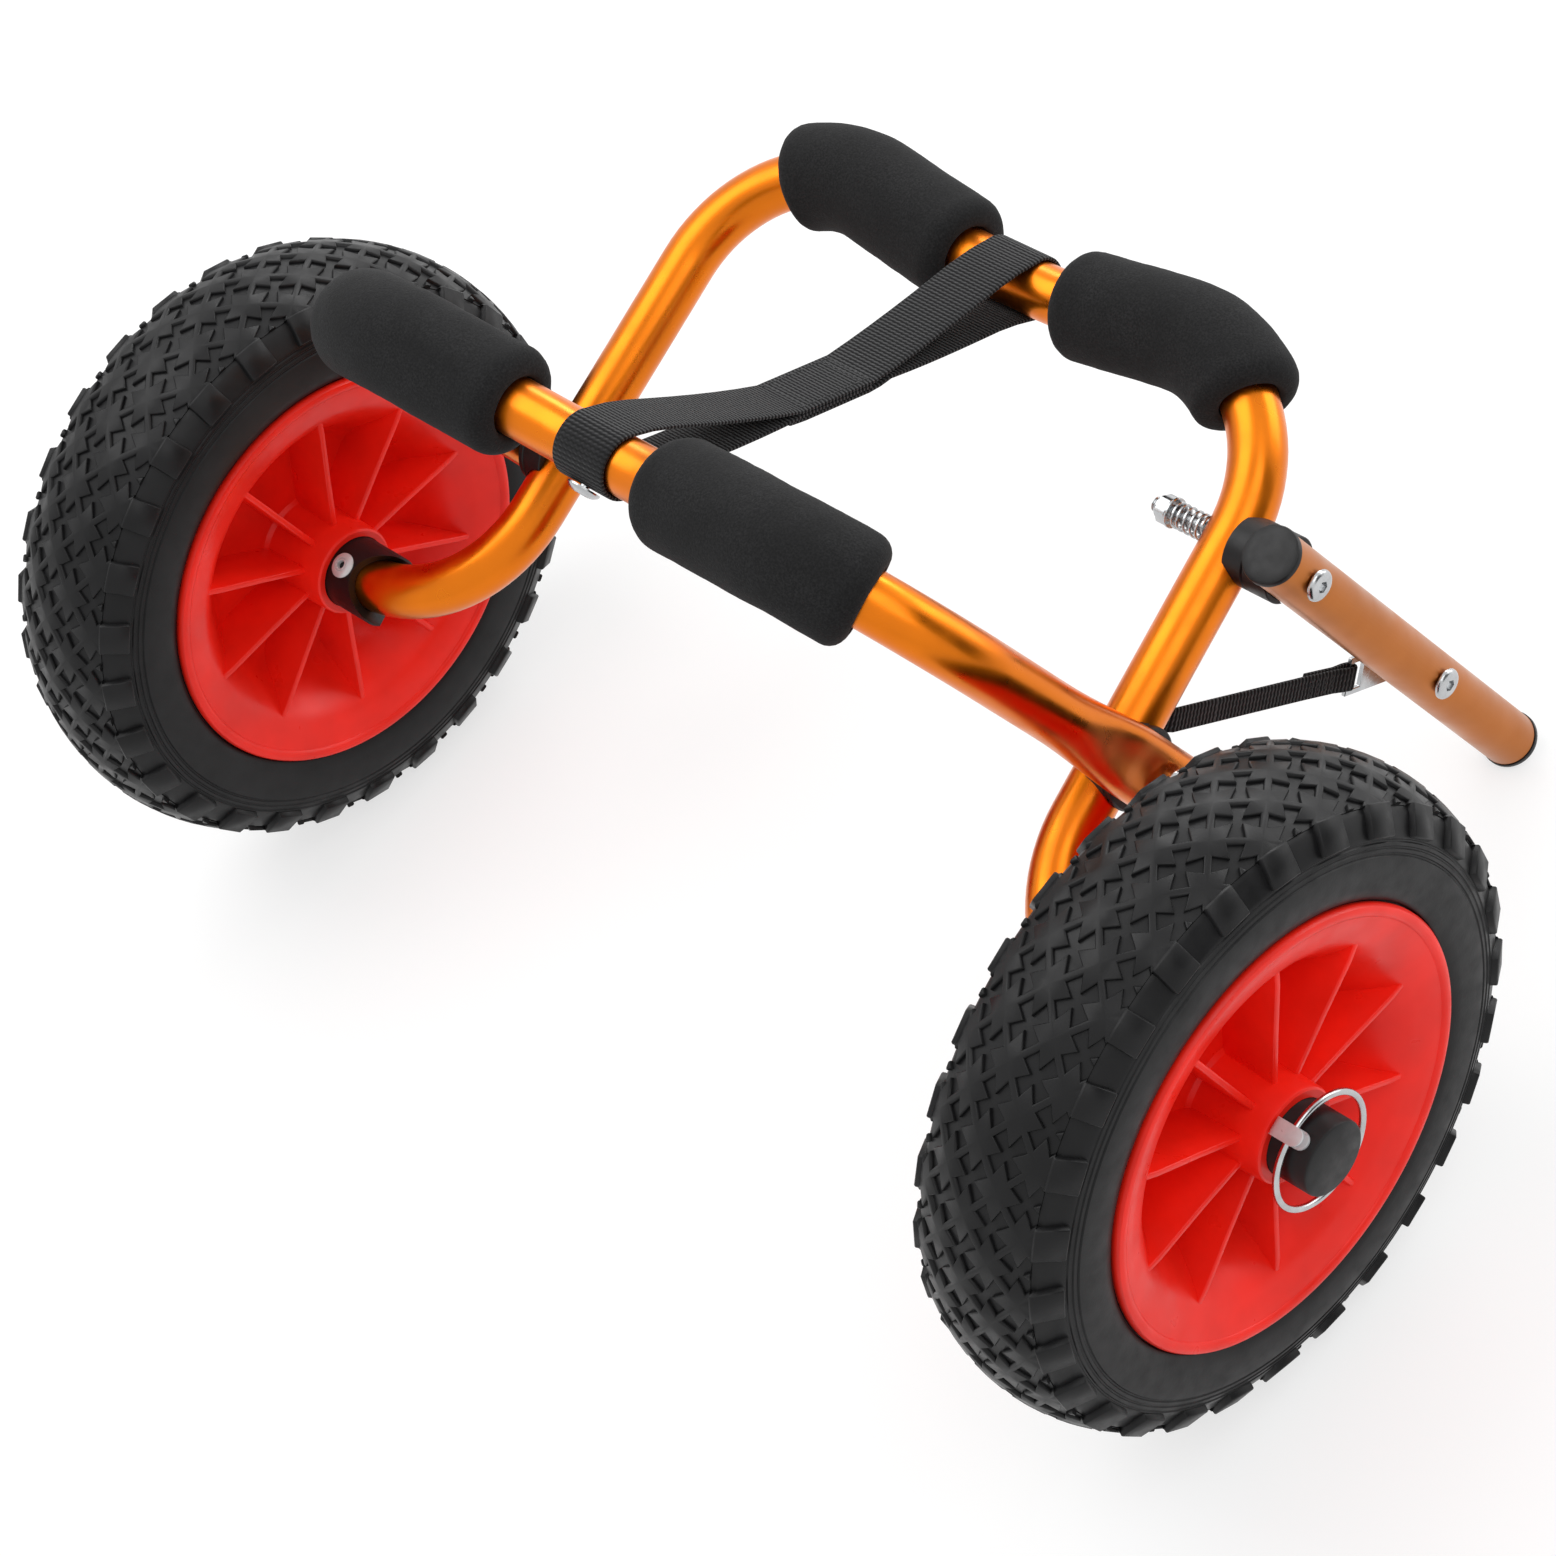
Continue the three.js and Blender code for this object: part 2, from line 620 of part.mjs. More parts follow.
function standTube() {
  const capEnd = STAND_CAP_Y + CAP_THICKNESS + FIT_GAP;
  const footEnd = STAND_FOOT_Y - CAP_THICKNESS - FIT_GAP;
  const outside = standBar(TUBE_RADIUS, capEnd, footEnd, 20);
  const bore = standBar(TUBE_RADIUS - TUBE_WALL, capEnd - 1, footEnd + 1, 20);
  const boltHole = (y) => rod(SMALL_BOLT_RADIUS + FIT_GAP, ...along(150, 200, y, STAND_Z));
  const bolts = [0, STAND_BOLT_Y].map(boltHole);
  return cut(outside, bore, ...bolts);
}

// A tube's end plug: a plain face outside and a shorter spigot in the bore
function endPlug(faceY, inwards) {
  const spigotRadius = TUBE_RADIUS - TUBE_WALL - FIT_GAP;
  const profile = [
    [0, 0],
    [CAP_RADIUS - 0.7, 0],
    [CAP_RADIUS, 0.7],
    [CAP_RADIUS, CAP_THICKNESS],
    [spigotRadius, CAP_THICKNESS],
    [spigotRadius, CAP_THICKNESS + 9],
    [0, CAP_THICKNESS + 9],
  ];
  const plug = turned(profile, 20).rotateX(Math.PI / 2).rotateZ(Math.PI / 2);
  if (inwards < 0) plug.rotateX(Math.PI);
  return plug.translate(STAND_X, faceY, STAND_Z);
}

// The kickstand's spring: one unbroken wire, its turns closer at both ends
const SPRING_END_X = legX(STAND_Z) - TUBE_RADIUS - SPRING_WIRE - FIT_GAP;

function springPoint(t) {
  const angle = 2 * Math.PI * SPRING_TURNS * t;
  const eased = t - 0.04 * Math.sin(2 * Math.PI * t);
  const x = THREE.MathUtils.lerp(SPRING_START_X + SPRING_WIRE, SPRING_END_X, eased);
  return vec(x, SPRING_RADIUS * Math.cos(angle), STAND_Z + SPRING_RADIUS * Math.sin(angle));
}

function spring() {
  const steps = Math.round(SPRING_TURNS * 8);
  const rings = [];
  for (let i = 0; i <= steps; i += 1) {
    const t = i / steps;
    const centre = springPoint(t);
    const outwards = centre.clone().sub(vec(centre.x, 0, STAND_Z)).normalize();
    const points = [];
    for (let j = 0; j < 5; j += 1) {
      const angle = (2 * Math.PI * j) / 5;
      const point = centre.clone().addScaledVector(outwards, SPRING_WIRE * Math.cos(angle));
      points.push(point.add(vec(SPRING_WIRE * Math.sin(angle), 0, 0)));
    }
    rings.push(points);
  }
  return skin(rings);
}

// The least space between one turn of the spring's wire and the next
function springGap() {
  const count = 400;
  let least = Infinity;
  for (let i = 0; i <= count; i += 1) {
    for (let j = 0; j <= count; j += 1) {
      const turnsApart = (Math.abs(i - j) / count) * SPRING_TURNS;
      if (turnsApart < 0.5) continue;
      least = Math.min(least, springPoint(i / count).distanceTo(springPoint(j / count)));
    }
  }
  return least - 2 * SPRING_WIRE;
}
console.log(`least gap in the spring: ${springGap().toFixed(2)} mm`);

// Points along a straight line, without its first point
function lineSteps(outline, from, to, steps) {
  for (let i = 1; i <= steps; i += 1) {
    const t = i / steps;
    outline.lineTo(from[0] + (to[0] - from[0]) * t, from[1] + (to[1] - from[1]) * t);
  }
}

// Frame strap: one webbing loop round both bars, its two plies sewn together in the middle
function frameStrap() {
  const span = Math.hypot(CRADLE_REACH, AXLE_BAR_Z - PIVOT_Z);
  const inner = TUBE_RADIUS + 0.6;
  const outer = inner + STRAP_THICKNESS;
  const middle = span / 2;
  const nearEdge = middle - SEWN_HALF_LENGTH;
  const farEdge = middle + SEWN_HALF_LENGTH;
  const plies = STRAP_THICKNESS * 1.1;
  const wrap = Math.PI / 2 + Math.atan2(outer - plies, nearEdge);
  const touch = [outer * Math.cos(Math.PI - wrap), outer * Math.sin(Math.PI - wrap)];
  const outline = new THREE.Shape();
  outline.moveTo(farEdge, plies);
  lineSteps(outline, [farEdge, plies], [nearEdge, plies], 3);
  lineSteps(outline, [nearEdge, plies], touch, 4);
  outline.absarc(0, 0, outer, Math.PI - wrap, wrap - Math.PI, false);
  lineSteps(outline, [touch[0], -touch[1]], [nearEdge, -plies], 4);
  lineSteps(outline, [nearEdge, -plies], [farEdge, -plies], 3);
  lineSteps(outline, [farEdge, -plies], [span - touch[0], -touch[1]], 4);
  outline.absarc(span, 0, outer, -wrap, wrap, false);
  lineSteps(outline, [span - touch[0], touch[1]], [farEdge, plies], 4);
  const eye = (centre, edge, facing) => {
    const hole = new THREE.Path();
    const spread = Math.acos(inner / Math.abs(edge - centre));
    const ends = [1, -1].map((side) => [
      centre + inner * Math.cos(facing + side * spread),
      inner * Math.sin(facing + side * spread),
    ]);
    hole.absarc(centre, 0, inner, facing + spread, facing - spread + 2 * Math.PI, false);
    lineSteps(hole, ends[1], [edge, 0], 4);
    lineSteps(hole, [edge, 0], ends[0], 4);
    return hole;
  };
  outline.holes.push(eye(0, nearEdge, 0), eye(span, farEdge, Math.PI));
  const band = extruded(outline, STRAP_WIDTH, 14);
  const slant = new THREE.Matrix4().makeShear(0, -STRAP_NEAR_X / span, 0, 0, 0, 0);
  band.translate(0, 0, STRAP_NEAR_X - STRAP_WIDTH / 2);
  band.applyMatrix4(slant);
  const places = band.attributes.position;
  for (let i = 0; i < places.count; i += 1) {
    const t = THREE.MathUtils.clamp((places.getX(i) - outer - 2) / (span - 2 * outer - 4), 0, 1);
    places.setY(i, places.getY(i) - STRAP_SAG * Math.sin(Math.PI * t) ** 1.5);
  }
  const toSpace = new THREE.Matrix4().makeBasis(
    vec(0, CRADLE_REACH, AXLE_BAR_Z - PIVOT_Z).divideScalar(span),
    vec(0, PIVOT_Z - AXLE_BAR_Z, CRADLE_REACH).divideScalar(span),
    vec(1, 0, 0),
  );
  toSpace.setPosition(0, -CRADLE_REACH, PIVOT_Z);
  const rivetAt = (z) => vec(STRAP_NEAR_X, -CRADLE_REACH, z);
  const hole = rod(2.3, rivetAt(PIVOT_Z - 20), rivetAt(PIVOT_Z - 5), 10);
  return cut(band.applyMatrix4(toSpace), hole);
}

// The kickstand's limit strap: its foot is riveted to the back of the leg, and its other end is
// looped round the end bar of a slotted plate and sewn to itself
const limitAngle = Math.atan2(STAND_Z - LIMIT_START.z, STAND_BOLT_Y - LIMIT_START.y);
const barBack = BRACKET_REACH - BRACKET_BAR / 2;
const bracketMiddleX = STAND_X - TUBE_RADIUS - FIT_GAP - BRACKET_THICKNESS / 2;
const loopCentre = vec(
  bracketMiddleX,
  STAND_BOLT_Y - barBack * Math.cos(limitAngle),
  STAND_Z - barBack * Math.sin(limitAngle),
);

function limitStrap() {
  const heading = loopCentre.clone().sub(LIMIT_START);
  const length = heading.length();
  heading.normalize();
  const face = vec(1, 0, 0).addScaledVector(heading, -heading.x).normalize();
  const wide = face.clone().cross(heading);
  const half = LIMIT_THICKNESS / 2;
  const inside = BRACKET_THICKNESS / 2 + 0.4;
  const reach = BRACKET_BAR / 2 + 0.5;
  const outline = new THREE.Shape();
  outline.moveTo(-length, -half);
  outline.lineTo(-24, -half);
  outline.lineTo(-22, -1.7 * half);
  outline.lineTo(-9, -1.7 * half);
  outline.lineTo(-reach - 1, -inside - 2 * half);
  outline.absarc(0, 0, inside + 2 * half, -2.1, 2.1, false);
  outline.lineTo(-9, 1.7 * half);
  outline.lineTo(-22, 1.7 * half);
  outline.lineTo(-24, half);
  outline.lineTo(-length, half);
  const eye = new THREE.Path();
  eye.absarc(0, 0, Math.hypot(inside, reach), -2.2, 2.2, false);
  eye.lineTo(-6.5, 0);
  outline.holes.push(eye);
  const main = extruded(outline, LIMIT_WIDTH, 8);
  main.translate(0, 0, -LIMIT_WIDTH / 2);
  main.applyMatrix4(new THREE.Matrix4().makeBasis(heading, face, wide.clone().negate()));
  main.translate(loopCentre.x, loopCentre.y, loopCentre.z);
  return fuse(main, limitFoot(heading, face, wide));
}

// The strap's riveted foot, lying on the back of the leg and bending out into the straight run
function limitFoot(heading, face, wide) {
  const backY = TUBE_RADIUS + FIT_GAP + LIMIT_THICKNESS / 2;
  const square = vec(0, 0, 1);
  const stations = [
    [vec(138.5, backY, LIMIT_FOOT_Z), vec(0, -1, 0), square],
    [vec(148, backY, LIMIT_FOOT_Z), vec(0, -1, 0), square],
    [vec(149.7, backY + 1, LIMIT_FOOT_Z + 0.8), vec(0.7, -0.7, 0), square.clone().add(wide).normalize()],
    [LIMIT_START.clone().addScaledVector(heading, 2), face, wide],
  ];
  const thick = LIMIT_THICKNESS / 2 - 0.02;
  const broad = LIMIT_WIDTH / 2 - 0.02;
  const section = ([centre, out, across]) =>
    [[1, 1], [1, -1], [-1, -1], [-1, 1]].map(([a, b]) =>
      centre.clone().addScaledVector(out, a * thick).addScaledVector(across, b * broad));
  const foot = skin(stations.map(section));
  return cut(foot, rod(2.3, vec(LIMIT_RIVET_X, 5, LIMIT_FOOT_Z), vec(LIMIT_RIVET_X, 20, LIMIT_FOOT_Z), 10));
}

// Slotted plate under the kickstand's second bolt
function strapBracket() {
  const plate = new THREE.Shape();
  plate.moveTo(0, -BRACKET_HALF_WIDTH);
  plate.lineTo(BRACKET_REACH, -BRACKET_HALF_WIDTH);
  plate.lineTo(BRACKET_REACH, BRACKET_HALF_WIDTH);
  plate.lineTo(0, BRACKET_HALF_WIDTH);
  plate.absarc(0, 0, BRACKET_HALF_WIDTH, Math.PI / 2, -Math.PI / 2, false);
  const slot = new THREE.Path();
  const slotEnd = BRACKET_REACH - BRACKET_BAR;
  const slotHalf = LIMIT_WIDTH / 2 + 0.6;
  slot.moveTo(slotEnd - BRACKET_SLOT, -slotHalf);
  slot.lineTo(slotEnd - BRACKET_SLOT, slotHalf);
  slot.lineTo(slotEnd, slotHalf);
  slot.lineTo(slotEnd, -slotHalf);
  const hole = new THREE.Path().absarc(0, 0, SMALL_BOLT_RADIUS + FIT_GAP, 0, 2 * Math.PI, true);
  plate.holes.push(slot, hole);
  const sheet = extruded(plate, BRACKET_THICKNESS, 8);
  const toSpace = new THREE.Matrix4().makeBasis(
    vec(0, -Math.cos(limitAngle), -Math.sin(limitAngle)),
    vec(0, Math.sin(limitAngle), -Math.cos(limitAngle)),
    vec(1, 0, 0),
  );
  toSpace.setPosition(bracketMiddleX - BRACKET_THICKNESS / 2, STAND_BOLT_Y, STAND_Z);
  return sheet.applyMatrix4(toSpace);
}

// Assembly
const cart = new THREE.Group();
const chassis = new THREE.Group();
chassis.rotation.x = -LEAN;
chassis.position.z = WHEEL_RADIUS;
cart.add(chassis);

function place(parent, name, geometry, finish, x = 0, y = 0, z = 0) {
  const piece = new THREE.Mesh(bare(geometry), finish);
  piece.name = name;
  piece.position.set(x, y, z);
  parent.add(piece);
}

// Places a right-hand piece and its mirror image
function pair(parent, name, geometry, finish, x = 0, y = 0, z = 0) {
  place(parent, `${name}_right`, geometry, finish, x, y, z);
  place(parent, `${name}_left`, mirrored(geometry), finish, -x, y, z);
}

// Axle frame and what is fixed to it
place(chassis, 'axle_frame_tube', axleFrame(), ORANGE);
place(chassis, 'axle_pad_right', pad(AXLE_PLANE, axleRoute, AXLE_PAD_RIGHT, 1), FOAM);
place(chassis, 'axle_pad_left', pad(AXLE_PLANE, axleRoute, AXLE_PAD_LEFT, -1), FOAM);
pair(chassis, 'axle_sleeve', axleSleeve(), BLACK);
const sleeveRivet = rivet(4.3, 1.6, 2.4, 6.4).rotateZ(-Math.PI / 2);
pair(chassis, 'sleeve_rivet', sleeveRivet, STEEL, SLEEVE_RIVET_X, -SLEEVE_RADIUS - FIT_GAP);
pair(chassis, 'pivot_spacer', pivotSpacer(), BLACK);
const pivotHeadX = CRADLE_LEG_X + FLAT_HALF_THICKNESS + FIT_GAP;
pair(chassis, 'pivot_bolt', buttonBolt(PIVOT_BOLT_RADIUS, 7.5, pivotHeadX, 124), STEEL, 0, 0, PIVOT_Z);
const legInnerX = legX(PIVOT_Z) - TUBE_RADIUS - FIT_GAP - 0.2;
pair(chassis, 'pivot_nut', lockNut(PIVOT_BOLT_RADIUS, 6.4, legInnerX - 8, legInnerX), STEEL, 0, 0, PIVOT_Z);
place(chassis, 'saddle_leg_half', legSaddle(), BLACK);
place(chassis, 'stand_spring', spring(), STEEL);
const limitRivet = rivet(3.6, 1.4, 1.9, 5).rotateZ(Math.PI / 2);
const limitRivetY = TUBE_RADIUS + 2 * FIT_GAP + LIMIT_THICKNESS;
place(chassis, 'limit_strap_rivet', limitRivet, STEEL, LIMIT_RIVET_X, limitRivetY, LIMIT_FOOT_Z);
place(chassis, 'limit_strap', limitStrap(), WEBBING);

// Cradle frame
place(chassis, 'cradle_frame_tube', cradleFrame(), ORANGE);
place(chassis, 'cradle_pad_right', pad(CRADLE_PLANE, cradleRoute, CRADLE_PAD_RIGHT, 1), FOAM);
place(chassis, 'cradle_pad_left', pad(CRADLE_PLANE, cradleRoute, CRADLE_PAD_LEFT, -1), FOAM);
place(chassis, 'frame_strap', frameStrap(), WEBBING);
const strapRivet = rivet(6.5, 2.6, 1.9, 4.6).rotateY(Math.PI / 2);
const strapRivetZ = PIVOT_Z - TUBE_RADIUS - STRAP_THICKNESS - 0.6 - FIT_GAP;
place(chassis, 'strap_rivet', strapRivet, STEEL, STRAP_NEAR_X, -CRADLE_REACH, strapRivetZ);

// Kickstand: the sprung bolt slides, and the stand turns on it
const standHeadX = STAND_X + TUBE_RADIUS + FIT_GAP;
const smallBolt = (tipX) => buttonBolt(SMALL_BOLT_RADIUS, 6.2, standHeadX, tipX);
const smallNut = (innerX, outerX) => lockNut(SMALL_BOLT_RADIUS, 5, innerX, outerX);
place(chassis, 'stand_pivot_bolt', smallBolt(107.5), STEEL, 0, 0, STAND_Z);
place(chassis, 'stand_pivot_nut', smallNut(110, 116.2), STEEL, 0, 0, STAND_Z);
const washerBore = SMALL_BOLT_RADIUS + FIT_GAP;
const washerProfile = [
  [washerBore, 116.5], [6, 116.5], [6, 117.5], [washerBore, 117.5], [washerBore, 116.5],
];
const washer = turned(washerProfile, 16);
place(chassis, 'spring_washer', washer, STEEL, 0, 0, STAND_Z);
place(chassis, 'saddle_stand_half', standSaddle(), BLACK);
place(chassis, 'stand_tube', standTube(), STAND_ORANGE);
place(chassis, 'stand_cap', endPlug(STAND_CAP_Y, 1), BLACK);
place(chassis, 'stand_foot', endPlug(STAND_FOOT_Y, -1), BLACK);
const bracketX = bracketMiddleX - BRACKET_THICKNESS / 2 - FIT_GAP;
place(chassis, 'stand_bolt', smallBolt(bracketX - 8), STEEL, 0, STAND_BOLT_Y, STAND_Z);
place(chassis, 'stand_nut', smallNut(bracketX - 6.4, bracketX), STEEL, 0, STAND_BOLT_Y, STAND_Z);
place(chassis, 'strap_bracket', strapBracket(), STEEL);

// Wheels stand upright, so they are placed in the cart's own space
const tyreShape = tyre();
const rimShape = rim();
pair(cart, 'tyre', tyreShape, RUBBER, TRACK / 2, 0, WHEEL_RADIUS);
pair(cart, 'rim', rimShape, RED, TRACK / 2, 0, WHEEL_RADIUS);
pair(chassis, 'retaining_pin', retainingPin(), STEEL);
pair(chassis, 'pin_ring', pinRing(), STEEL);

// The origin is on the floor, under the middle of the whole cart
const bounds = new THREE.Box3().setFromObject(cart);
cart.position.y = -(bounds.min.y + bounds.max.y) / 2;
cart.updateMatrixWorld(true);

export default cart;
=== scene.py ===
"""Kayak cart: crossed bent-tube frames, foam pads, webbing straps, solid-tyred wheels and a
kickstand.

The pieces are drawn in millimetres in the axle frame's own space: x runs along the axle, z up the
legs of the axle frame, y square to it towards the kickstand's foot. CHASSIS leans that space back
into the cart's frame, in metres. The wheels are drawn about their own axle.
"""

import json
import math

import bmesh
import bpy
from bpy.props import FloatProperty, FloatVectorProperty, PointerProperty
from mathutils import Matrix, Vector, noise


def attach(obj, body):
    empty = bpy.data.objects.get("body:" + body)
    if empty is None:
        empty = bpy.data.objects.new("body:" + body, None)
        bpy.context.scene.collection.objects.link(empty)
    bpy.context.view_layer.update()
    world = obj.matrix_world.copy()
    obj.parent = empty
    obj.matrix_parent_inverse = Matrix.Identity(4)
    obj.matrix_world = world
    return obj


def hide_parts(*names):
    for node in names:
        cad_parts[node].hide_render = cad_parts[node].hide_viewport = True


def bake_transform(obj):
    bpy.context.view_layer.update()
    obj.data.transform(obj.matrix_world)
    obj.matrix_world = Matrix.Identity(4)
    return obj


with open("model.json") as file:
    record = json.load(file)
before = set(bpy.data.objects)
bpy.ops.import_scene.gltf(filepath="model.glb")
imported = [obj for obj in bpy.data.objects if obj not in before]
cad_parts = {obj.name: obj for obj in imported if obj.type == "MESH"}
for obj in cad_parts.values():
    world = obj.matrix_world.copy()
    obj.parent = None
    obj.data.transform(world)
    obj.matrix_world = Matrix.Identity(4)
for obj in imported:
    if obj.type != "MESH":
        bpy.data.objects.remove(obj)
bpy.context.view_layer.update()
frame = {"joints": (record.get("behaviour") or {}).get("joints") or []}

bl_info = {
    "name": "Kayak Cart",
    "version": (1, 0, 0),
    "blender": (4, 5, 0),
    "location": "3D View > Sidebar > Kayak Cart",
    "description": "Dresses the frame with its tubes, wheels, pads, straps and kickstand",
    "category": "Object",
}

MM = 0.001
JOINTS = {joint["name"]: joint for joint in frame["joints"]}
AXLE = Vector(JOINTS["right_wheel_spin"]["pos_m"])
AXLE.x = 0

# The lean of the axle frame, from the pivot's place above the axle
PIVOT_RISE = Vector(JOINTS["frame_fold"]["pos_m"]) - AXLE
LEAN = math.atan2(PIVOT_RISE.y, PIVOT_RISE.z)
CHASSIS = Matrix.Translation(AXLE) @ Matrix.Rotation(-LEAN, 4, "X") @ Matrix.Scale(MM, 4)
SIDES = (("right", Matrix.Identity(4)), ("left", Matrix.Diagonal((-1, 1, 1, 1))))
X_AXIS = Vector((1, 0, 0))

# Frames, in millimetres
PIVOT_Z = 84
LEG_FOOT_X = 149.3
LEG_TOP_X = 143
LEG_TOP_Z = 239.73
AXLE_BAR_Z = 224
CRADLE_REACH = 153.5
AXLE_ROUTE = [(288, 0), (LEG_FOOT_X, 0), (LEG_TOP_X, LEG_TOP_Z), (22, AXLE_BAR_Z)]
CRADLE_ROUTE = [(168.5, -12), (168.5, 28), (150, 170.14), (22, CRADLE_REACH)]
BEND_RADIUS = 60
TUBE_RADIUS = 11
HUG_RADIUS = 11.3  # of the hollows that take a frame tube
CLEARANCE = 0.3
FLAT_END = 28
FLAT_TAPER = 56
FLAT_HALF_THICKNESS = 7.2
FLAT_HALF_WIDTH = 13.6
OUTER_DISH = 0.38
INNER_DISH = 0.05
TRACK_HALF = 252.7

# Kickstand, in millimetres
STAND_X = 174
STAND_Z = 171.5
STAND_BOLT_Y = 112
STAND_FOOT_Y = 198
STAND_CAP_Y = -20
STAND_HOLE = 3.2
SADDLE_RADIUS = 13.1

# Camera: its place in metres, and the direction and the upright of its view
EYE = Vector((1.03857, -0.51977, 1.41051))
LOOK = Vector((-0.59764, 0.27991, -0.75133))
UPRIGHT = Vector((-0.40803, 0.70048, 0.58554))
LENS = 104.69


def length_property(name, description, default, least, most):
    """A length, in metres, that a user may change"""
    return FloatProperty(
        name=name,
        description=description,
        default=default,
        min=least,
        max=most,
        unit="LENGTH",
    )


class CartSizes(bpy.types.PropertyGroup):
    """Sizes of the cart's pieces that a user would change"""

    tube_radius: length_property(
        "Tube radius", "Outer radius of the frame tubes", 0.011, 0.006, 0.011
    )
    tube_wall: length_property(
        "Tube wall", "Wall thickness of the frame tubes", 0.0016, 0.0005, 0.004
    )
    pad_radius: length_property(
        "Pad radius", "Outer radius of the foam pads", 0.0213, 0.014, 0.024
    )
    pad_edge: length_property(
        "Pad edge", "Radius of the rounded ends of the foam pads", 0.0075, 0.001, 0.009
    )
    tread_depth: length_property(
        "Tread depth", "Depth of the hollows in the tyre's tread", 0.0015, 0.0005, 0.003
    )
    strap_width: length_property(
        "Strap width", "Width of the webbing strap between the frames", 0.026, 0.015, 0.03
    )
    ring_wire: length_property(
        "Ring wire", "Wire radius of the pins' pull rings", 0.0013, 0.0006, 0.0015
    )


def colour_property(name, description, default):
    """A colour that a user may change"""
    return FloatVectorProperty(
        name=name,
        description=description,
        default=default,
        min=0.0,
        max=1.0,
        size=3,
        subtype="COLOR",
    )


class CartColours(bpy.types.PropertyGroup):
    """Colours of the cart's finishes"""

    tube: colour_property("Tube", "Anodised orange of the frame tubes", (0.75, 0.185, 0.007))
    stand: colour_property("Kickstand", "Satin copper of the kickstand", (0.47, 0.143, 0.019))
    foam: colour_property("Foam", "Black of the foam pads", (0.016, 0.016, 0.0165))
    rubber: colour_property("Rubber", "Black of the tyres", (0.0066, 0.0066, 0.007))
    rim: colour_property("Rim", "Red of the moulded rims", (0.90, 0.018, 0.0078))
    plastic: colour_property("Plastic", "Black of the sleeves and saddles", (0.005, 0.005, 0.0054))
    steel: colour_property("Steel", "Grey of the bolts, pins and rings", (0.50, 0.51, 0.52))
    zinc: colour_property("Zinc plate", "Pale grey of the pins and rivets", (0.62, 0.63, 0.64))
    webbing: colour_property("Webbing", "Black of the straps", (0.006, 0.006, 0.0066))
    floor: colour_property("Floor", "Pale studio floor", (0.80, 0.80, 0.80))


def size(name):
    """One of the cart's sizes, in millimetres"""
    return getattr(bpy.context.scene.cart_sizes, name) / MM


# Finishes -----------------------------------------------------------------------------------------

CLOUD_LOW = 0.3


class Finish:
    """A material under construction: its principled shader and the nodes that feed it"""

    def __init__(self, name, metallic=0.0):
        self.material = bpy.data.materials.new(name)
        self.material.use_nodes = True
        self.tree = self.material.node_tree
        self.shader = self.tree.nodes["Principled BSDF"]
        self.places = self.tree.nodes.new("ShaderNodeTexCoord")
        self.bump = None
        self.give(Metallic=metallic)

    def node(self, kind, settings=None, **inputs):
        made = self.tree.nodes.new(kind)
        for key, value in (settings or {}).items():
            setattr(made, key, value)
        for key, value in inputs.items():
            self.feed(made, key.replace("_", " "), value)
        return made

    def feed(self, node, key, value):
        socket = node.inputs[key]
        if isinstance(value, bpy.types.NodeSocket):
            self.tree.links.new(value, socket)
        else:
            socket.default_value = value

    def give(self, **inputs):
        """Sets or feeds inputs of the shader"""
        for key, value in inputs.items():
            self.feed(self.shader, key.replace("_", " "), value)

    def scaled(self, size_mm):
        """Object places, scaled so that a pattern's feature is size_mm across"""
        places = self.places.outputs["Object"]
        scale = [1 / (size_mm * MM)] * 3
        return self.node("ShaderNodeMapping", Vector=places, Scale=scale).outputs["Vector"]

    def cloud(self, size_mm, detail, roughness=0.5):
        inputs = {"Scale": 1.0, "Detail": detail, "Roughness": roughness}
        return self.node("ShaderNodeTexNoise", Vector=self.scaled(size_mm), **inputs).outputs["Fac"]

    def cells(self, size_mm):
        made = self.node("ShaderNodeTexVoronoi", Vector=self.scaled(size_mm), Scale=1.0)
        return made.outputs["Distance"]

    def remap(self, value, low, high, to_low=0.0, to_high=1.0):
        ends = {"From_Min": low, "From_Max": high, "To_Min": to_low, "To_Max": to_high}
        return self.node("ShaderNodeMapRange", Value=value, **ends).outputs["Result"]

    def math(self, operation, *values):
        made = self.node("ShaderNodeMath", {"operation": operation})
        for place, value in enumerate(values):
            self.feed(made, place, value)
        return made.outputs["Value"]

    def toned(self, factor, colour, dark, light):
        """Sets the base colour, between a darker and a lighter shade by a factor"""
        made = self.node("ShaderNodeMix", {"data_type": "RGBA"})
        self.feed(made, 0, factor)
        self.feed(made, 6, shaded(colour, dark))
        self.feed(made, 7, shaded(colour, light))
        self.give(Base_Color=made.outputs[2])

    def mottled(self, cloud, high, colour, dark, light):
        """Lets the colour drift with a cloud"""
        self.toned(self.remap(cloud, CLOUD_LOW, high), colour, dark, light)

    def smeared(self, cloud, high, smooth, rough):
        """Lets the roughness drift with a cloud"""
        self.give(Roughness=self.remap(cloud, CLOUD_LOW, high, smooth, rough))

    def relief(self, height, depth_mm, strength):
        """Adds a bump on top of the one before it"""
        bump = self.node("ShaderNodeBump", Height=height, Distance=depth_mm * MM, Strength=strength)
        if self.bump:
            self.feed(bump, "Normal", self.bump)
        self.bump = bump.outputs["Normal"]
        self.give(Normal=self.bump)


def shaded(colour, gain):
    """A colour made lighter or darker, as a four-part value"""
    return [min(1.0, part * gain) for part in colour] + [1.0]


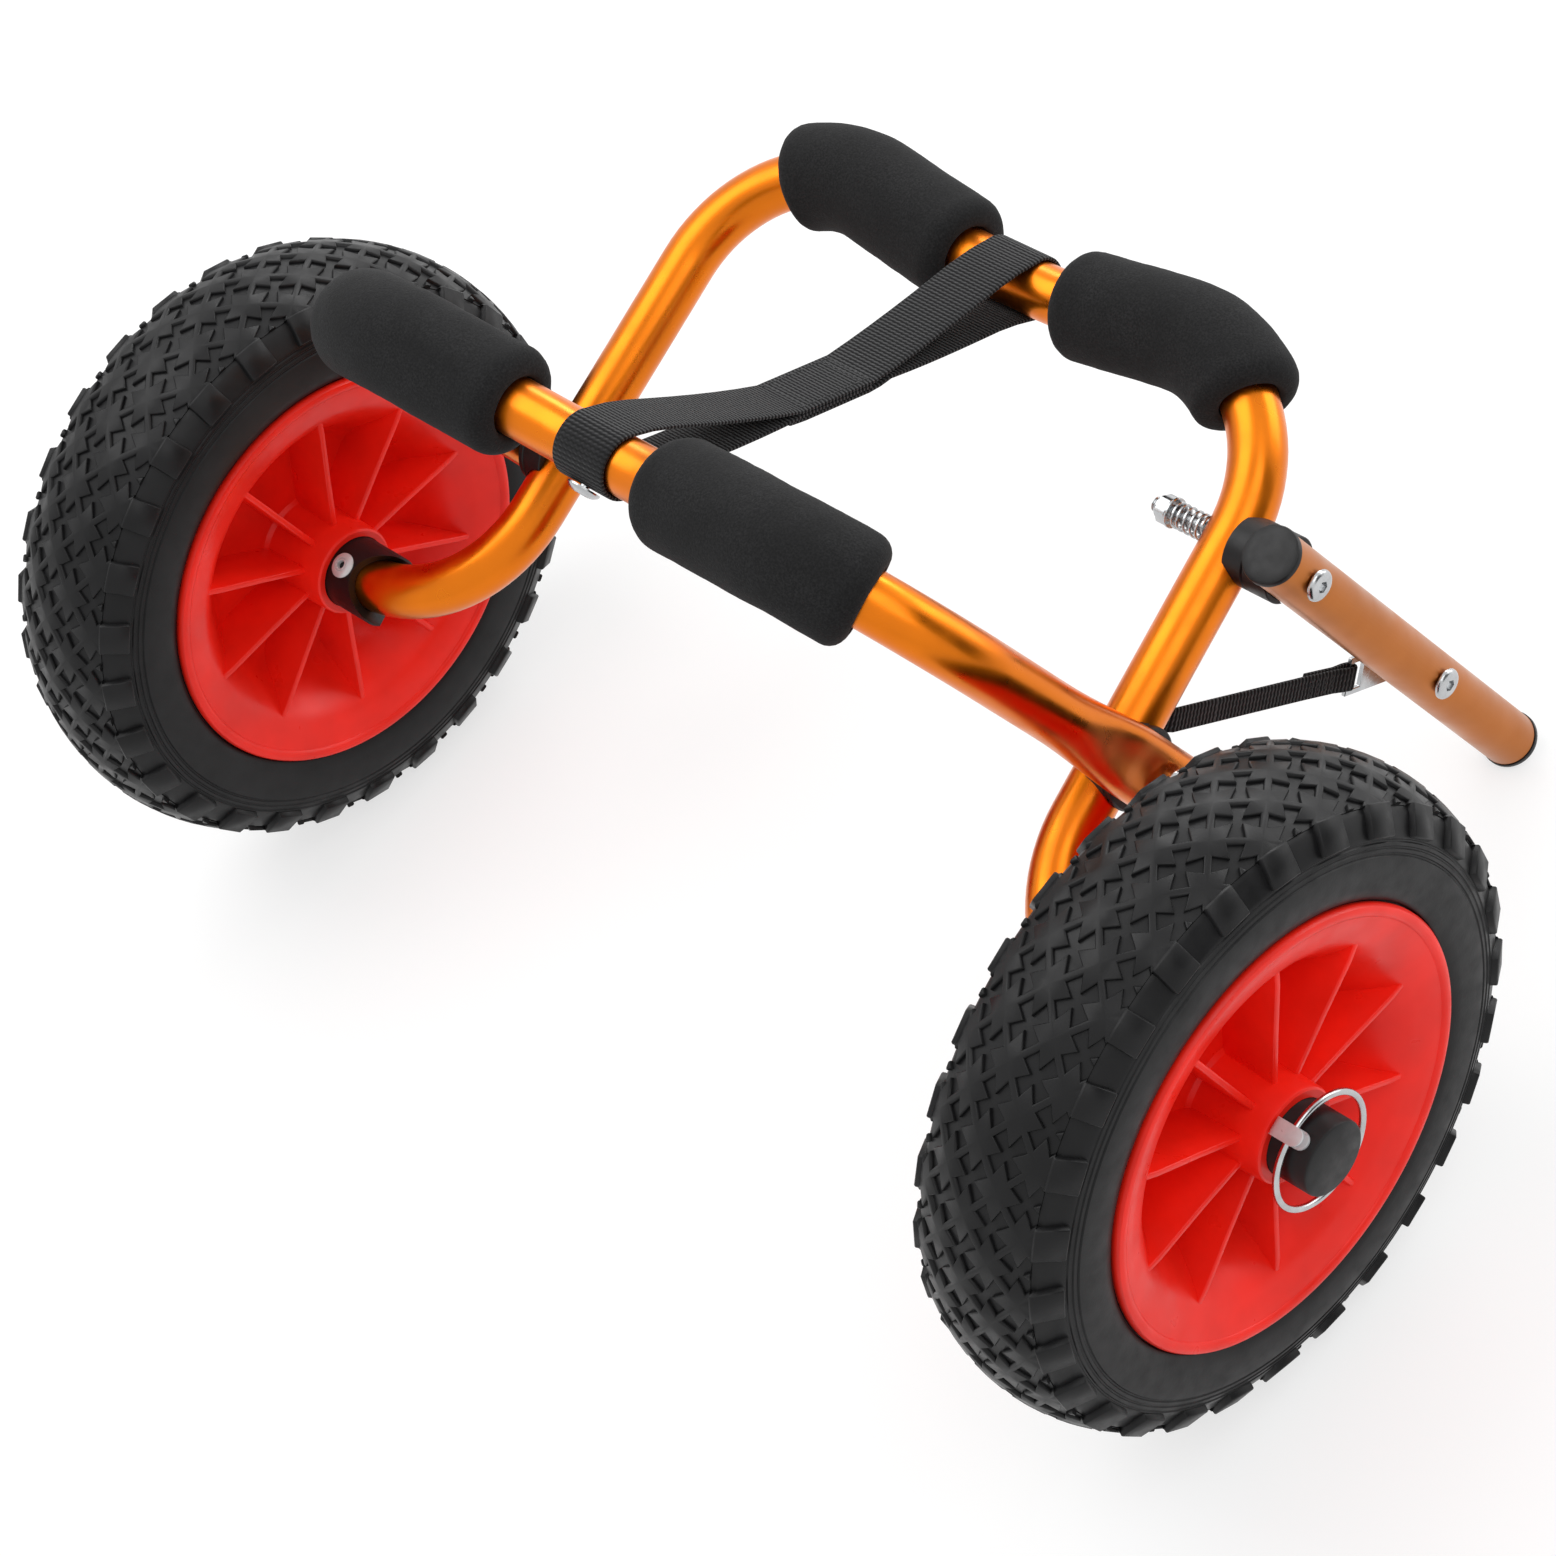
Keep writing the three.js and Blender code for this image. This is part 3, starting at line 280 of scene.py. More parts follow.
def anodised(name, colour, roughness):
    """Dyed and polished tube: deep colour, faint ripples and a slightly uneven gloss"""
    finish = Finish(name, metallic=1.0)
    finish.mottled(finish.cloud(45, 3), 0.7, colour, 0.9, 1.06)
    finish.smeared(finish.cloud(14, 4), 0.75, roughness * 0.82, roughness * 1.25)
    finish.relief(finish.cloud(9, 2), 0.02, 0.5)
    finish.relief(finish.cloud(0.35, 2), 0.004, 0.5)
    finish.give(Coat_Weight=0.1, Coat_Roughness=0.12)
    return finish.material


def foam_finish(colour):
    """Closed-cell foam: matte, finely pitted, with grey dust in the grain"""
    finish = Finish("foam_black")
    grain = finish.cloud(0.8, 4, roughness=0.65)
    patches = finish.remap(finish.cloud(16, 3), CLOUD_LOW, 0.8, 0.4, 1.0)
    dust = finish.math("MULTIPLY", finish.remap(grain, 0.4, 0.8), patches)
    finish.toned(dust, colour, 0.75, 2.4)
    finish.relief(finish.remap(finish.cells(1.9), 0.1, 0.32), 0.16, 0.45)
    finish.relief(grain, 0.22, 0.8)
    finish.give(Roughness=0.92, Specular_IOR_Level=0.12, Sheen_Weight=0.03, Sheen_Roughness=0.5)
    return finish.material


def rubber_finish(colour):
    """Moulded solid rubber: satin, with faint cloudy bloom and fine mould grain"""
    finish = Finish("tyre_rubber")
    finish.mottled(finish.cloud(22, 4), 0.75, colour, 0.85, 1.7)
    finish.smeared(finish.cloud(7, 3), 0.75, 0.34, 0.52)
    finish.relief(finish.cloud(0.9, 3), 0.05, 0.6)
    finish.give(Specular_IOR_Level=0.22)
    return finish.material


def rim_finish(colour):
    """Moulded red plastic: satin gloss with slight flow marks"""
    finish = Finish("rim_red")
    finish.mottled(finish.cloud(30, 3), 0.7, colour, 0.88, 1.1)
    finish.smeared(finish.cloud(11, 3), 0.7, 0.27, 0.42)
    finish.relief(finish.cloud(12, 1), 0.05, 0.35)
    finish.relief(finish.cloud(0.5, 2), 0.012, 0.5)
    finish.give(Specular_IOR_Level=0.28)
    return finish.material


def plastic_finish(colour):
    """Black moulding with a fine spark-eroded texture"""
    finish = Finish("black_moulding")
    finish.mottled(finish.cloud(10, 3), 0.7, colour, 0.8, 1.5)
    finish.smeared(finish.cloud(5, 3), 0.7, 0.38, 0.54)
    finish.relief(finish.cells(0.45), 0.03, 0.5)
    finish.give(Specular_IOR_Level=0.3)
    return finish.material


def steel_finish(name, colour, dullness=1.0, metallic=1.0):
    """Plated steel: small scuffs and a soft, slightly wavy polish"""
    finish = Finish(name, metallic)
    finish.mottled(finish.cloud(6, 4), 0.75, colour, 0.86, 1.12)
    finish.smeared(finish.cloud(2.5, 4), 0.75, 0.15 * dullness, 0.33 * dullness)
    finish.relief(finish.cloud(1.2, 3), 0.012, 0.6)
    return finish.material


def webbing_finish(colour):
    """Woven webbing: fine ribs across the strap and fainter cords along it, on its own UV map, with
    painted shade in the furrows and painted highlight on the ribs
    """
    finish = Finish("black_webbing")
    parts = finish.node("ShaderNodeSeparateXYZ", Vector=finish.places.outputs["UV"])
    along, across = parts.outputs["X"], parts.outputs["Y"]
    rib_pitch, cord_pitch = 1.7 * MM, 2.6 * MM
    cords = finish.math("SINE", finish.math("MULTIPLY", across, math.tau / cord_pitch))
    course = finish.math("MULTIPLY", along, math.tau / rib_pitch)
    ribs = finish.math("SINE", finish.math("ADD", course, finish.math("MULTIPLY", cords, 0.4)))
    height = finish.math("ADD", ribs, finish.math("MULTIPLY", cords, 0.12))
    # Painted shade and highlight: the colour follows the weave's height, dark in the furrows
    # between the ribs and light on their crests
    finish.toned(finish.remap(height, -1.1, 1.1), colour, 0.25, 3.0)
    finish.relief(height, 0.34, 1.0)
    finish.relief(finish.cloud(0.35, 3), 0.06, 0.5)
    finish.give(Roughness=0.82, Specular_IOR_Level=0.25, Sheen_Weight=0.12, Sheen_Roughness=0.4)
    return finish.material


def thread_finish(colour):
    """Twisted sewing thread, a little glossier than the webbing, with a painted highlight on the
    raised twist
    """
    finish = Finish("sewing_thread")
    twist = finish.cloud(0.5, 2)
    # Painted highlight: the colour is lighter where the twist's bump stands highest
    finish.toned(twist, colour, 1.0, 3.4)
    finish.relief(twist, 0.08, 0.6)
    finish.give(Roughness=0.6)
    return finish.material


FINISHES = {}


def mix_finishes():
    """Makes every finish from the cart's colours"""
    colours = bpy.context.scene.cart_colours
    FINISHES.update(
        anodised_tube=anodised("anodised_orange", colours.tube, 0.31),
        stand_tube=anodised("satin_copper", colours.stand, 0.35),
        foam=foam_finish(colours.foam),
        tyre=rubber_finish(colours.rubber),
        red_plastic=rim_finish(colours.rim),
        black_plastic=plastic_finish(colours.plastic),
        steel=steel_finish("bright_steel", colours.steel),
        zinc=steel_finish("zinc_plate", colours.zinc, 1.7, 0.25),
        webbing=webbing_finish(colours.webbing),
        thread=thread_finish(colours.webbing),
    )


# Shapes -------------------------------------------------------------------------------------------


def merged(bm, gap=1e-3):
    """Joins corners that meet and turns the faces outwards"""
    bmesh.ops.remove_doubles(bm, verts=bm.verts, dist=gap)
    bmesh.ops.dissolve_degenerate(bm, edges=bm.edges, dist=1e-5)
    bmesh.ops.recalc_face_normals(bm, faces=bm.faces)
    return bm


def meshed(name, bm):
    """Turns a shape into a mesh and frees it"""
    mesh = bpy.data.meshes.new(name)
    bm.to_mesh(mesh)
    bm.free()
    return mesh


def in_scene(name, data):
    """A new object, linked to the scene"""
    made = bpy.data.objects.new(name, data)
    bpy.context.scene.collection.objects.link(made)
    return made


def moved(bm, *matrices):
    """Moves, turns or scales a shape"""
    for matrix in matrices:
        bmesh.ops.transform(bm, matrix=matrix, verts=bm.verts)
    return bm


def added(bm, other, *matrices):
    """Puts one shape into another, as a separate shell"""
    mesh = meshed("passing", moved(other, *matrices))
    bm.from_mesh(mesh)
    bpy.data.meshes.remove(mesh)
    return bm


def new_verts(parts):
    """The corners among an operator's new parts"""
    return [part for part in parts if isinstance(part, bmesh.types.BMVert)]


def spun(bm, axis, steps):
    """Spins a line or ring a full turn about an axis through the origin"""
    bmesh.ops.spin(
        bm,
        geom=list(bm.verts) + list(bm.edges),
        cent=(0, 0, 0),
        axis=axis,
        dvec=(0, 0, 0),
        angle=math.tau,
        steps=steps,
        use_merge=True,
        use_duplicate=False,
    )
    return merged(bm)


def turned(profile, steps, closed=False):
    """Spins (radius, distance) pairs about the x axis into a closed shape"""
    bm = bmesh.new()
    verts = [bm.verts.new((distance, radius, 0)) for radius, distance in profile]
    pairs = list(zip(verts, verts[1:] + verts[:1]))
    for pair in pairs if closed else pairs[:-1]:
        bm.edges.new(pair)
    return spun(bm, X_AXIS, steps)


def shift(x=0, y=0, z=0):
    return Matrix.Translation((x, y, z))


def turn(degrees, axis="X"):
    return Matrix.Rotation(math.radians(degrees), 4, axis)


def axes(x, y, z, spot):
    """The matrix that lays the three axes along three directions, from a place"""
    return Matrix(((*x, 0), (*y, 0), (*z, 0), (*spot, 1))).transposed()


def box(x, y, z):
    """A block about the origin"""
    bm = bmesh.new()
    bmesh.ops.create_cube(bm, size=1)
    return moved(bm, Matrix.Diagonal((x, y, z, 1)))


def swept(section, stations, runs=None, looped=False):
    """Extrudes a section from each station to the next. A section is a number of sides of a unit
    circle, or a few flat points; a station is the matrix that places it."""
    bm = bmesh.new()
    route = bm.verts.layers.float_vector.new("route")
    if isinstance(section, int):
        bmesh.ops.create_circle(bm, segments=section, radius=1)
    else:
        corners = [bm.verts.new((x, y, 0)) for x, y in section]
        for pair in zip(corners, corners[1:] + corners[:1]):
            bm.edges.new(pair)
    for vert in bm.verts:
        vert[route] = (0, vert.co.x, 0)
    ring = list(bm.edges)
    bmesh.ops.transform(bm, matrix=stations[0], verts=bm.verts)
    if not looped:
        bmesh.ops.edgeloop_fill(bm, edges=ring)
    for i, (before, after) in enumerate(zip(stations, stations[1:]), 1):
        grown = bmesh.ops.extrude_edge_only(bm, edges=ring)["geom"]
        verts = new_verts(grown)
        fresh = set(verts)
        ring = [
            part
            for part in grown
            if isinstance(part, bmesh.types.BMEdge) and fresh.issuperset(part.verts)
        ]
        bmesh.ops.transform(bm, matrix=after @ before.inverted(), verts=verts)
        if runs:
            for vert in verts:
                vert[route] = (runs[i], vert[route].y, 0)
    if not looped:
        bmesh.ops.edgeloop_fill(bm, edges=ring)
    return bm


def weave_map(bm):
    """Lays the sweep's run and width, in metres, out as a UV map for woven finishes"""
    route = bm.verts.layers.float_vector["route"]
    chart = bm.loops.layers.uv.new("weave")
    for face in bm.faces:
        for loop in face.loops:
            run, across = loop.vert[route].xy
            loop[chart].uv = (run * MM, across * MM)
    return bm


def bent_route(half, step=4.0):
    """Stations (u, v, heading, run) of a symmetric route with round bends, from its right half"""
    corners = [Vector(point) for point in half]
    corners += [Vector((-point.x, point.y)) for point in reversed(corners)]
    bearings = []
    for a, b in zip(corners, corners[1:]):
        bearing = math.atan2(b.y - a.y, b.x - a.x)
        before = bearings[-1] if bearings else 0.0
        bearings.append(before + math.remainder(bearing - before, math.tau))
    stations = [(corners[0].x, corners[0].y, bearings[0])]
    for corner, before, after in zip(corners[1:-1], bearings, bearings[1:]):
        bend = after - before
        side = math.copysign(1, bend)
        inset = BEND_RADIUS * math.tan(abs(bend) / 2)
        start = corner - inset * Vector((math.cos(before), math.sin(before)))
        centre = start + side * BEND_RADIUS * Vector((-math.sin(before), math.cos(before)))
        count = max(2, math.ceil(abs(math.degrees(bend)) / step))
        for k in range(count + 1):
            angle = before + bend * k / count
            spot = centre + side * BEND_RADIUS * Vector((math.sin(angle), -math.cos(angle)))
            stations.append((spot.x, spot.y, angle))
    stations.append((corners[-1].x, corners[-1].y, bearings[-1]))
    route, run = [], 0.0
    for u, v, angle in stations:
        if route:
            run += math.hypot(u - route[-1][0], v - route[-1][1])
        route.append((u, v, angle, run))
    return route


def on_route(route, run):
    """The station at a run, on the chord between its neighbours"""
    after = next((i for i, station in enumerate(route) if station[3] >= run), len(route) - 1)
    after = max(after, 1)
    a, b = route[after - 1], route[after]
    t = (run - a[3]) / max(b[3] - a[3], 1e-9)
    return tuple(p + (q - p) * t for p, q in zip(a, b))


def route_frame(plane, station):
    """The matrix of a station: x in the plane and square to the route, y across the plane"""
    origin, u_axis, v_axis = plane
    u, v, angle = station[:3]
    along = u_axis * math.cos(angle) + v_axis * math.sin(angle)
    side = -u_axis * math.sin(angle) + v_axis * math.cos(angle)
    return axes(side, -u_axis.cross(v_axis), along, origin + u_axis * u + v_axis * v)


def scaled(matrix, x, y=None):
    return matrix @ Matrix.Diagonal((x, x if y is None else y, 1, 1))


AXLE_PLANE = (Vector((0, 0, 0)), X_AXIS, Vector((0, 0, 1)))
CRADLE_PLANE = (Vector((0, 0, PIVOT_Z)), X_AXIS, Vector((0, -1, 0)))


def rod(radius, start, end, sides=32):
    """A plain closed bar between two points"""
    start, end = Vector(start), Vector(end)
    bm = bmesh.new()
    bmesh.ops.create_cone(
        bm,
        cap_ends=True,
        segments=sides,
        radius1=radius,
        radius2=radius,
        depth=(end - start).length,
    )
    spin = (end - start).to_track_quat("Z", "Y").to_matrix().to_4x4()
    return moved(bm, spin, Matrix.Translation((start + end) / 2))


def slab(outline, thickness):
    """A flat outline in x and y, extruded evenly to both sides"""
    bm = bmesh.new()
    face = bm.faces.new([bm.verts.new((x, y, -thickness / 2)) for x, y in outline])
    lifted = new_verts(bmesh.ops.extrude_face_region(bm, geom=[face])["geom"])
    bmesh.ops.translate(bm, vec=(0, 0, thickness), verts=lifted)
    bmesh.ops.recalc_face_normals(bm, faces=bm.faces)
    return bm


def arc_points(x, y, radius, start, end, count):
    """Points on an arc, its angles in degrees"""
    angles = [math.radians(start + (end - start) * k / count) for k in range(count + 1)]
    return [(x + radius * math.cos(a), y + radius * math.sin(a)) for a in angles]


def carved(bm, *cutters):
    """Cuts closed shapes out of another, through boolean modifiers applied at once"""
    objects = []
    for shape in (bm, *cutters):
        bmesh.ops.recalc_face_normals(shape, faces=shape.faces)
        objects.append(in_scene("carving", meshed("carving", shape)))
    for cutter in objects[1:]:
        modifier = objects[0].modifiers.new("cut", "BOOLEAN")
        modifier.operation = "DIFFERENCE"
        modifier.solver = "EXACT"
        modifier.object = cutter
    bpy.context.view_layer.update()
    result = bmesh.new()
    graph = bpy.context.evaluated_depsgraph_get()
    result.from_mesh(objects[0].evaluated_get(graph).data)
    for made in objects:
        mesh = made.data
        bpy.data.objects.remove(made)
        bpy.data.meshes.remove(mesh)
    if not result.faces:
        raise RuntimeError("A carved piece came out empty")
    return result


def bevelled(bm, edges, width, segments=1, clamped=False):
    """Rounds or breaks the given edges"""
    bmesh.ops.bevel(
        bm,
        geom=edges,
        offset=width,
        offset_type="OFFSET",
        segments=segments,
        profile=0.5,
        affect="EDGES",
        clamp_overlap=clamped,
        material=-1,
    )
    return bm


def softened(bm, width, segments, above=30.0):
    """Rounds every edge that turns more than a given angle"""
    limit = math.radians(above)
    edges = [e for e in bm.edges if len(e.link_faces) == 2 and e.calc_face_angle(0) > limit]
    return bevelled(bm, edges, width, segments, clamped=True)


def finished(name, bm, slot, body=None, nodes=(), place=CHASSIS, sharp=32.0):
    """Turns a shape into a piece in its place, with its finish, body and the nodes it stands for"""
    moved(bm, place)
    bmesh.ops.recalc_face_normals(bm, faces=bm.faces)
    mesh = meshed(name, bm)
    mesh.shade_smooth()
    mesh.set_sharp_from_angle(angle=math.radians(sharp))
    mesh.materials.append(FINISHES[slot])
    made = in_scene(name, mesh)
    if nodes:
        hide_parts(*nodes)
    if body:
        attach(made, body)
    return made


def both_sides(name, build, slot, body, node):
    """Makes a right-hand piece and its mirror image; body and node hold {side} where they differ"""
    for side, flip in SIDES:
        nodes = [node.format(side=side)]
        finished(f"{name}_{side}", build(), slot, body.format(side=side), nodes, CHASSIS @ flip)


# Frames -------------------------------------------------------------------------------------------


def flatness(run, length):
    """How far a leg of the cradle frame is pressed flat: 1 at the pivot, 0 up the leg"""
    from_end = min(run, length - run)
    t = min(1.0, max(0.0, (from_end - FLAT_END) / FLAT_TAPER))
    return 1 - t * t * (3 - 2 * t)


def axle_tube():
    """The bent axle frame: both axles, both legs and the dipped top bar, in one tube"""
    radius, wall = size("tube_radius"), size("tube_wall")
    route = bent_route(AXLE_ROUTE)
    places = [route_frame(AXLE_PLANE, station) for station in route]
    outside = [scaled(place, radius) for place in places]
    inside = [scaled(place, radius - wall) for place in places]
    rings = outside + inside[::-1] + outside[:1]
    return merged(swept(40, rings, looped=True))


def cheek(edge, out, flat):
    """How far out a leg's wall lies, as a share of its half thickness: round up the leg, and at the
    pivot a flat cheek, dished between two lips on its outboard side"""
    dish = OUTER_DISH if out < 0 else INNER_DISH
    pressed = math.sqrt(max(0.0, 1 - edge**4)) * (1 - dish * (1 - edge * edge) ** 2)
    plain = math.sqrt(max(0.0, 1 - edge * edge))
    return math.copysign(plain + (pressed - plain) * flat, out)


def cradle_tube():
    """The bent cradle frame, its legs pressed flat and dished round the pivot bolts"""
    radius, wall = size("tube_radius"), size("tube_wall")
    route = bent_route(CRADLE_ROUTE)
    length = route[-1][3]
    fade = [FLAT_END + FLAT_TAPER * k / 16 for k in range(17)]
    near = [0, 1.5, 6, 12, 18, 23, *fade]
    runs = sorted({*near, *(length - run for run in near), *(s[3] for s in route[1:-1])})
    runs = [run for i, run in enumerate(runs) if i == 0 or run - runs[i - 1] > 0.4]
    outside, inside = [], []
    for run in runs:
        place = route_frame(CRADLE_PLANE, on_route(route, run))
        flat = flatness(run, length)
        thin = radius + (FLAT_HALF_THICKNESS - radius) * flat
        wide = radius + (FLAT_HALF_WIDTH - radius) * flat
        outside.append((scaled(place, thin, wide), flat))
        inside.append((scaled(place, thin - wall, wide - wall), flat))
    rings = outside + inside[::-1] + outside[:1]
    bm = merged(swept(48, [place for place, _ in rings], range(len(rings)), looped=True))
    station = bm.verts.layers.float_vector["route"]
    for vert in bm.verts:
        place, flat = rings[round(vert[station].x)]
        spot = place.inverted() @ vert.co
        spot.x = cheek(max(-1.0, min(1.0, spot.y)), spot.x, flat)
        vert.co = place @ spot
    return bm


class CART_OT_frames(bpy.types.Operator):
    """Make the two bent tube frames"""

    bl_idname = "cart.frames"
    bl_label = "Frame Tubes"

    def execute(self, context):
        for part, shape in (("axle", axle_tube()), ("cradle", cradle_tube())):
            body = f"{part}_frame"
            finished(f"frame_tube_{part}", shape, "anodised_tube", body, [f"{body}_tube"])
        return {"FINISHED"}


# Pads ---------------------------------------------------------------------------------------------

PADS = {
    "axle_pad_right": (AXLE_PLANE, AXLE_ROUTE, 30, 125, 1, "axle_frame"),
    "axle_pad_left": (AXLE_PLANE, AXLE_ROUTE, 24, 119, -1, "axle_frame"),
    "cradle_pad_right": (CRADLE_PLANE, CRADLE_ROUTE, 34, 134, 1, "cradle_frame"),
    "cradle_pad_left": (CRADLE_PLANE, CRADLE_ROUTE, 44, 144, -1, "cradle_frame"),
}

FOAM_LUMPS = ((17.0, 0.35), (5.0, 0.12), (1.7, 0.07))  # each pattern's size and height
FOAM_SINK = 0.2


def foam_pad(plane, corners, start, end, side):
    """A foam sleeve that follows the tube's bend, with rounded ends and a chamfered bore"""
    radius, edge = size("pad_radius"), size("pad_edge")
    length, ring_gap = end - start, 2.0
    bore = size("tube_radius") + 0.5
    mouth, throat = bore + 1.4, 1.2
    route = bent_route(corners, step=2.5)
    middle = route[-1][3] / 2
    rounding = [math.radians(15 * k) for k in range(7)]
    ends = [(edge * (1 - math.cos(a)), radius - edge + edge * math.sin(a)) for a in rounding]
    count = int((length - 2 * edge) / ring_gap)
    outer = [(0.0, mouth)] + ends + [(edge + ring_gap * k, radius) for k in range(1, count)]
    outer += [(length - depth, ring) for depth, ring in reversed(ends)] + [(length, mouth)]
    inner = [(length - throat, bore)] + [(length * share, bore) for share in (0.8, 0.6, 0.4, 0.2)]
    inner += [(throat, bore), (0.0, mouth)]
    rings = []
    for along, ring in outer + inner:
        station = on_route(route, middle - side * (start + along))
        rings.append(scaled(route_frame(plane, station), ring))
    bm = merged(swept(72, rings, looped=True))
    bm.normal_update()
    for vert in bm.verts:
        lump = sum(noise.noise(vert.co / spread) * height for spread, height in FOAM_LUMPS)
        vert.co += vert.normal * (lump - FOAM_SINK)
    return bm


class CART_OT_pads(bpy.types.Operator):
    """Make the four foam pads on the frames' top bars"""

    bl_idname = "cart.pads"
    bl_label = "Foam Pads"

    def execute(self, context):
        for node, (plane, corners, start, end, side, body) in PADS.items():
            shape = foam_pad(plane, corners, start, end, side)
            pad = finished(f"foam_{node}", shape, "foam", body, [node], sharp=60)
        return {"FINISHED"}


# Axle sleeves, pins and rings ---------------------------------------------------------------------

SLEEVE_START = 194.5
SLEEVE_RADIUS = 14.6
SLEEVE_END = 306
MOUTH_X = 188.5
MOUTH_RADIUS = 15.5
SLEEVE_RIVET_X = 210
PIN_X = 296
PIN_HOLE = 3.3
TAB_Y = -18.1
TAB_HALF = 3.4
TAB_THICKNESS = 1.2
FOLD_RADIUS = 1.9  # inside the fold, round the ring's wire
FOLD_X = 292.6
TIP_X = 303
RING_RADIUS = 22.5


def across_axle(radius, x, sides):
    """A cutter square to the axle, through the sleeve"""
    return rod(radius, (x, -20, 0), (x, 20, 0), sides)


def axle_sleeve():
    """The moulded spindle on which a wheel turns, with a saddle mouth round the frame's bend"""
    profile = [(0, SLEEVE_START), (14.0, SLEEVE_START), (14.9, 194.8), (15.2, 195.5), (15.2, 223.4)]
    profile += [(14.9, 224), (SLEEVE_RADIUS, 224.2), (SLEEVE_RADIUS, 304.8), (14.3, 305.6)]
    profile += [(13.6, SLEEVE_END), (0, SLEEVE_END)]
    foot = [(x, z, *rest) for x, z, *rest in bent_route(AXLE_ROUTE) if x > 120 and z < 90]
    tube = swept(40, [scaled(route_frame(AXLE_PLANE, spot), HUG_RADIUS) for spot in foot])
    mouth = across_axle(MOUTH_RADIUS, MOUTH_X, 64)
    return carved(turned(profile, 64), merged(tube), mouth, across_axle(PIN_HOLE, PIN_X, 24))


def pop_rivet(head, height, shank, length):
    """A blind rivet: low domed head with the hollow left by its drawn mandrel"""
    dome = [(1, 0), (1, 0.25), (0.93, 0.5), (0.74, 0.82), (0.56, 0.95), (0.51, 0.7)]
    dome += [(0.46, 1), (0.36, 1), (0.31, 0.6)]
    profile = [(0, -length), (shank, -length), (shank, 0)]
    profile += [(head * radius, height * level) for radius, level in dome]
    return turned(profile + [(head * 0.29, -0.6), (0, -0.3)], 32)


def pin_tab():
    """The pin's head: a strip folded round the ring's wire, its two tongues rounded"""
    outside = FOLD_RADIUS + TAB_THICKNESS
    outline = [(TIP_X, outside), *arc_points(FOLD_X, 0, outside, 90, 270, 12), (TIP_X, -outside)]
    outline += [(TIP_X, -FOLD_RADIUS), *arc_points(FOLD_X, 0, FOLD_RADIUS, 270, 90, 12)]
    strip = slab(outline + [(TIP_X, FOLD_RADIUS)], 2 * TAB_HALF)
    round_x, margin = TIP_X - TAB_HALF, TAB_HALF + 1
    tip = arc_points(round_x, 0, TAB_HALF, -89, 89, 16)
    beyond = [(round_x, margin), (TIP_X + 1, margin), (TIP_X + 1, -margin), (round_x, -margin)]
    corners = moved(slab(tip + beyond, 12), turn(90))
    return moved(softened(carved(strip, corners), 0.22, 2, 40), shift(0, TAB_Y, 0))


def retaining_pin():
    """The pin through the sleeve's end, with its folded head"""
    profile = [(0, 0), (2.1, 0), (2.8, 0.5), (3.0, 1.3), (3.0, 32.3), (0, 32.3)]
    shank = moved(turned(profile, 32), turn(-90, "Z"), shift(PIN_X, 17, 0))
    return added(pin_tab(), shank)


def pull_ring():
    """The round wire ring through the pin's folded head"""
    bm = bmesh.new()
    bmesh.ops.create_circle(bm, segments=20, radius=size("ring_wire"))
    spun(moved(bm, shift(RING_RADIUS, 0, 0)), (0, 1, 0), 96)
    return moved(bm, turn(90, "Z"), shift(PIN_X + 1, TAB_Y + RING_RADIUS, 0))


def sleeve_rivet():
    """The rivet that holds a sleeve on the axle"""
    return moved(pop_rivet(5.3, 1.7, 2.2, 5), turn(-90, "Z"), shift(SLEEVE_RIVET_X, -15.1, 0))


class CART_OT_sleeves(bpy.types.Operator):
    """Make the axle sleeves with their rivets, pins and pull rings"""

    bl_idname = "cart.sleeves"
    bl_label = "Axle Sleeves and Pins"

    def execute(self, context):
        both_sides("sleeve", axle_sleeve, "black_plastic", "axle_frame", "axle_sleeve_{side}")
        both_sides("sleeve_pop_rivet", sleeve_rivet, "zinc", "axle_frame", "sleeve_rivet_{side}")
        both_sides("pin", retaining_pin, "zinc", "{side}_pin", "retaining_pin_{side}")
        both_sides("pull_ring", pull_ring, "steel", "{side}_ring", "pin_ring_{side}")
        return {"FINISHED"}


# Wheels -------------------------------------------------------------------------------------------

WHEEL_RADIUS = 127
CROWN_RADIUS = 55
TREAD_PITCHES = 28
PITCH = math.tau * WHEEL_RADIUS / TREAD_PITCHES
ROW = 11.3
TREAD_HALF = 27.0
TREAD_SKIRT = 4.5
HOLLOW_TAPER = 0.965
RIBS = 10
RIB_TURN = -1.5


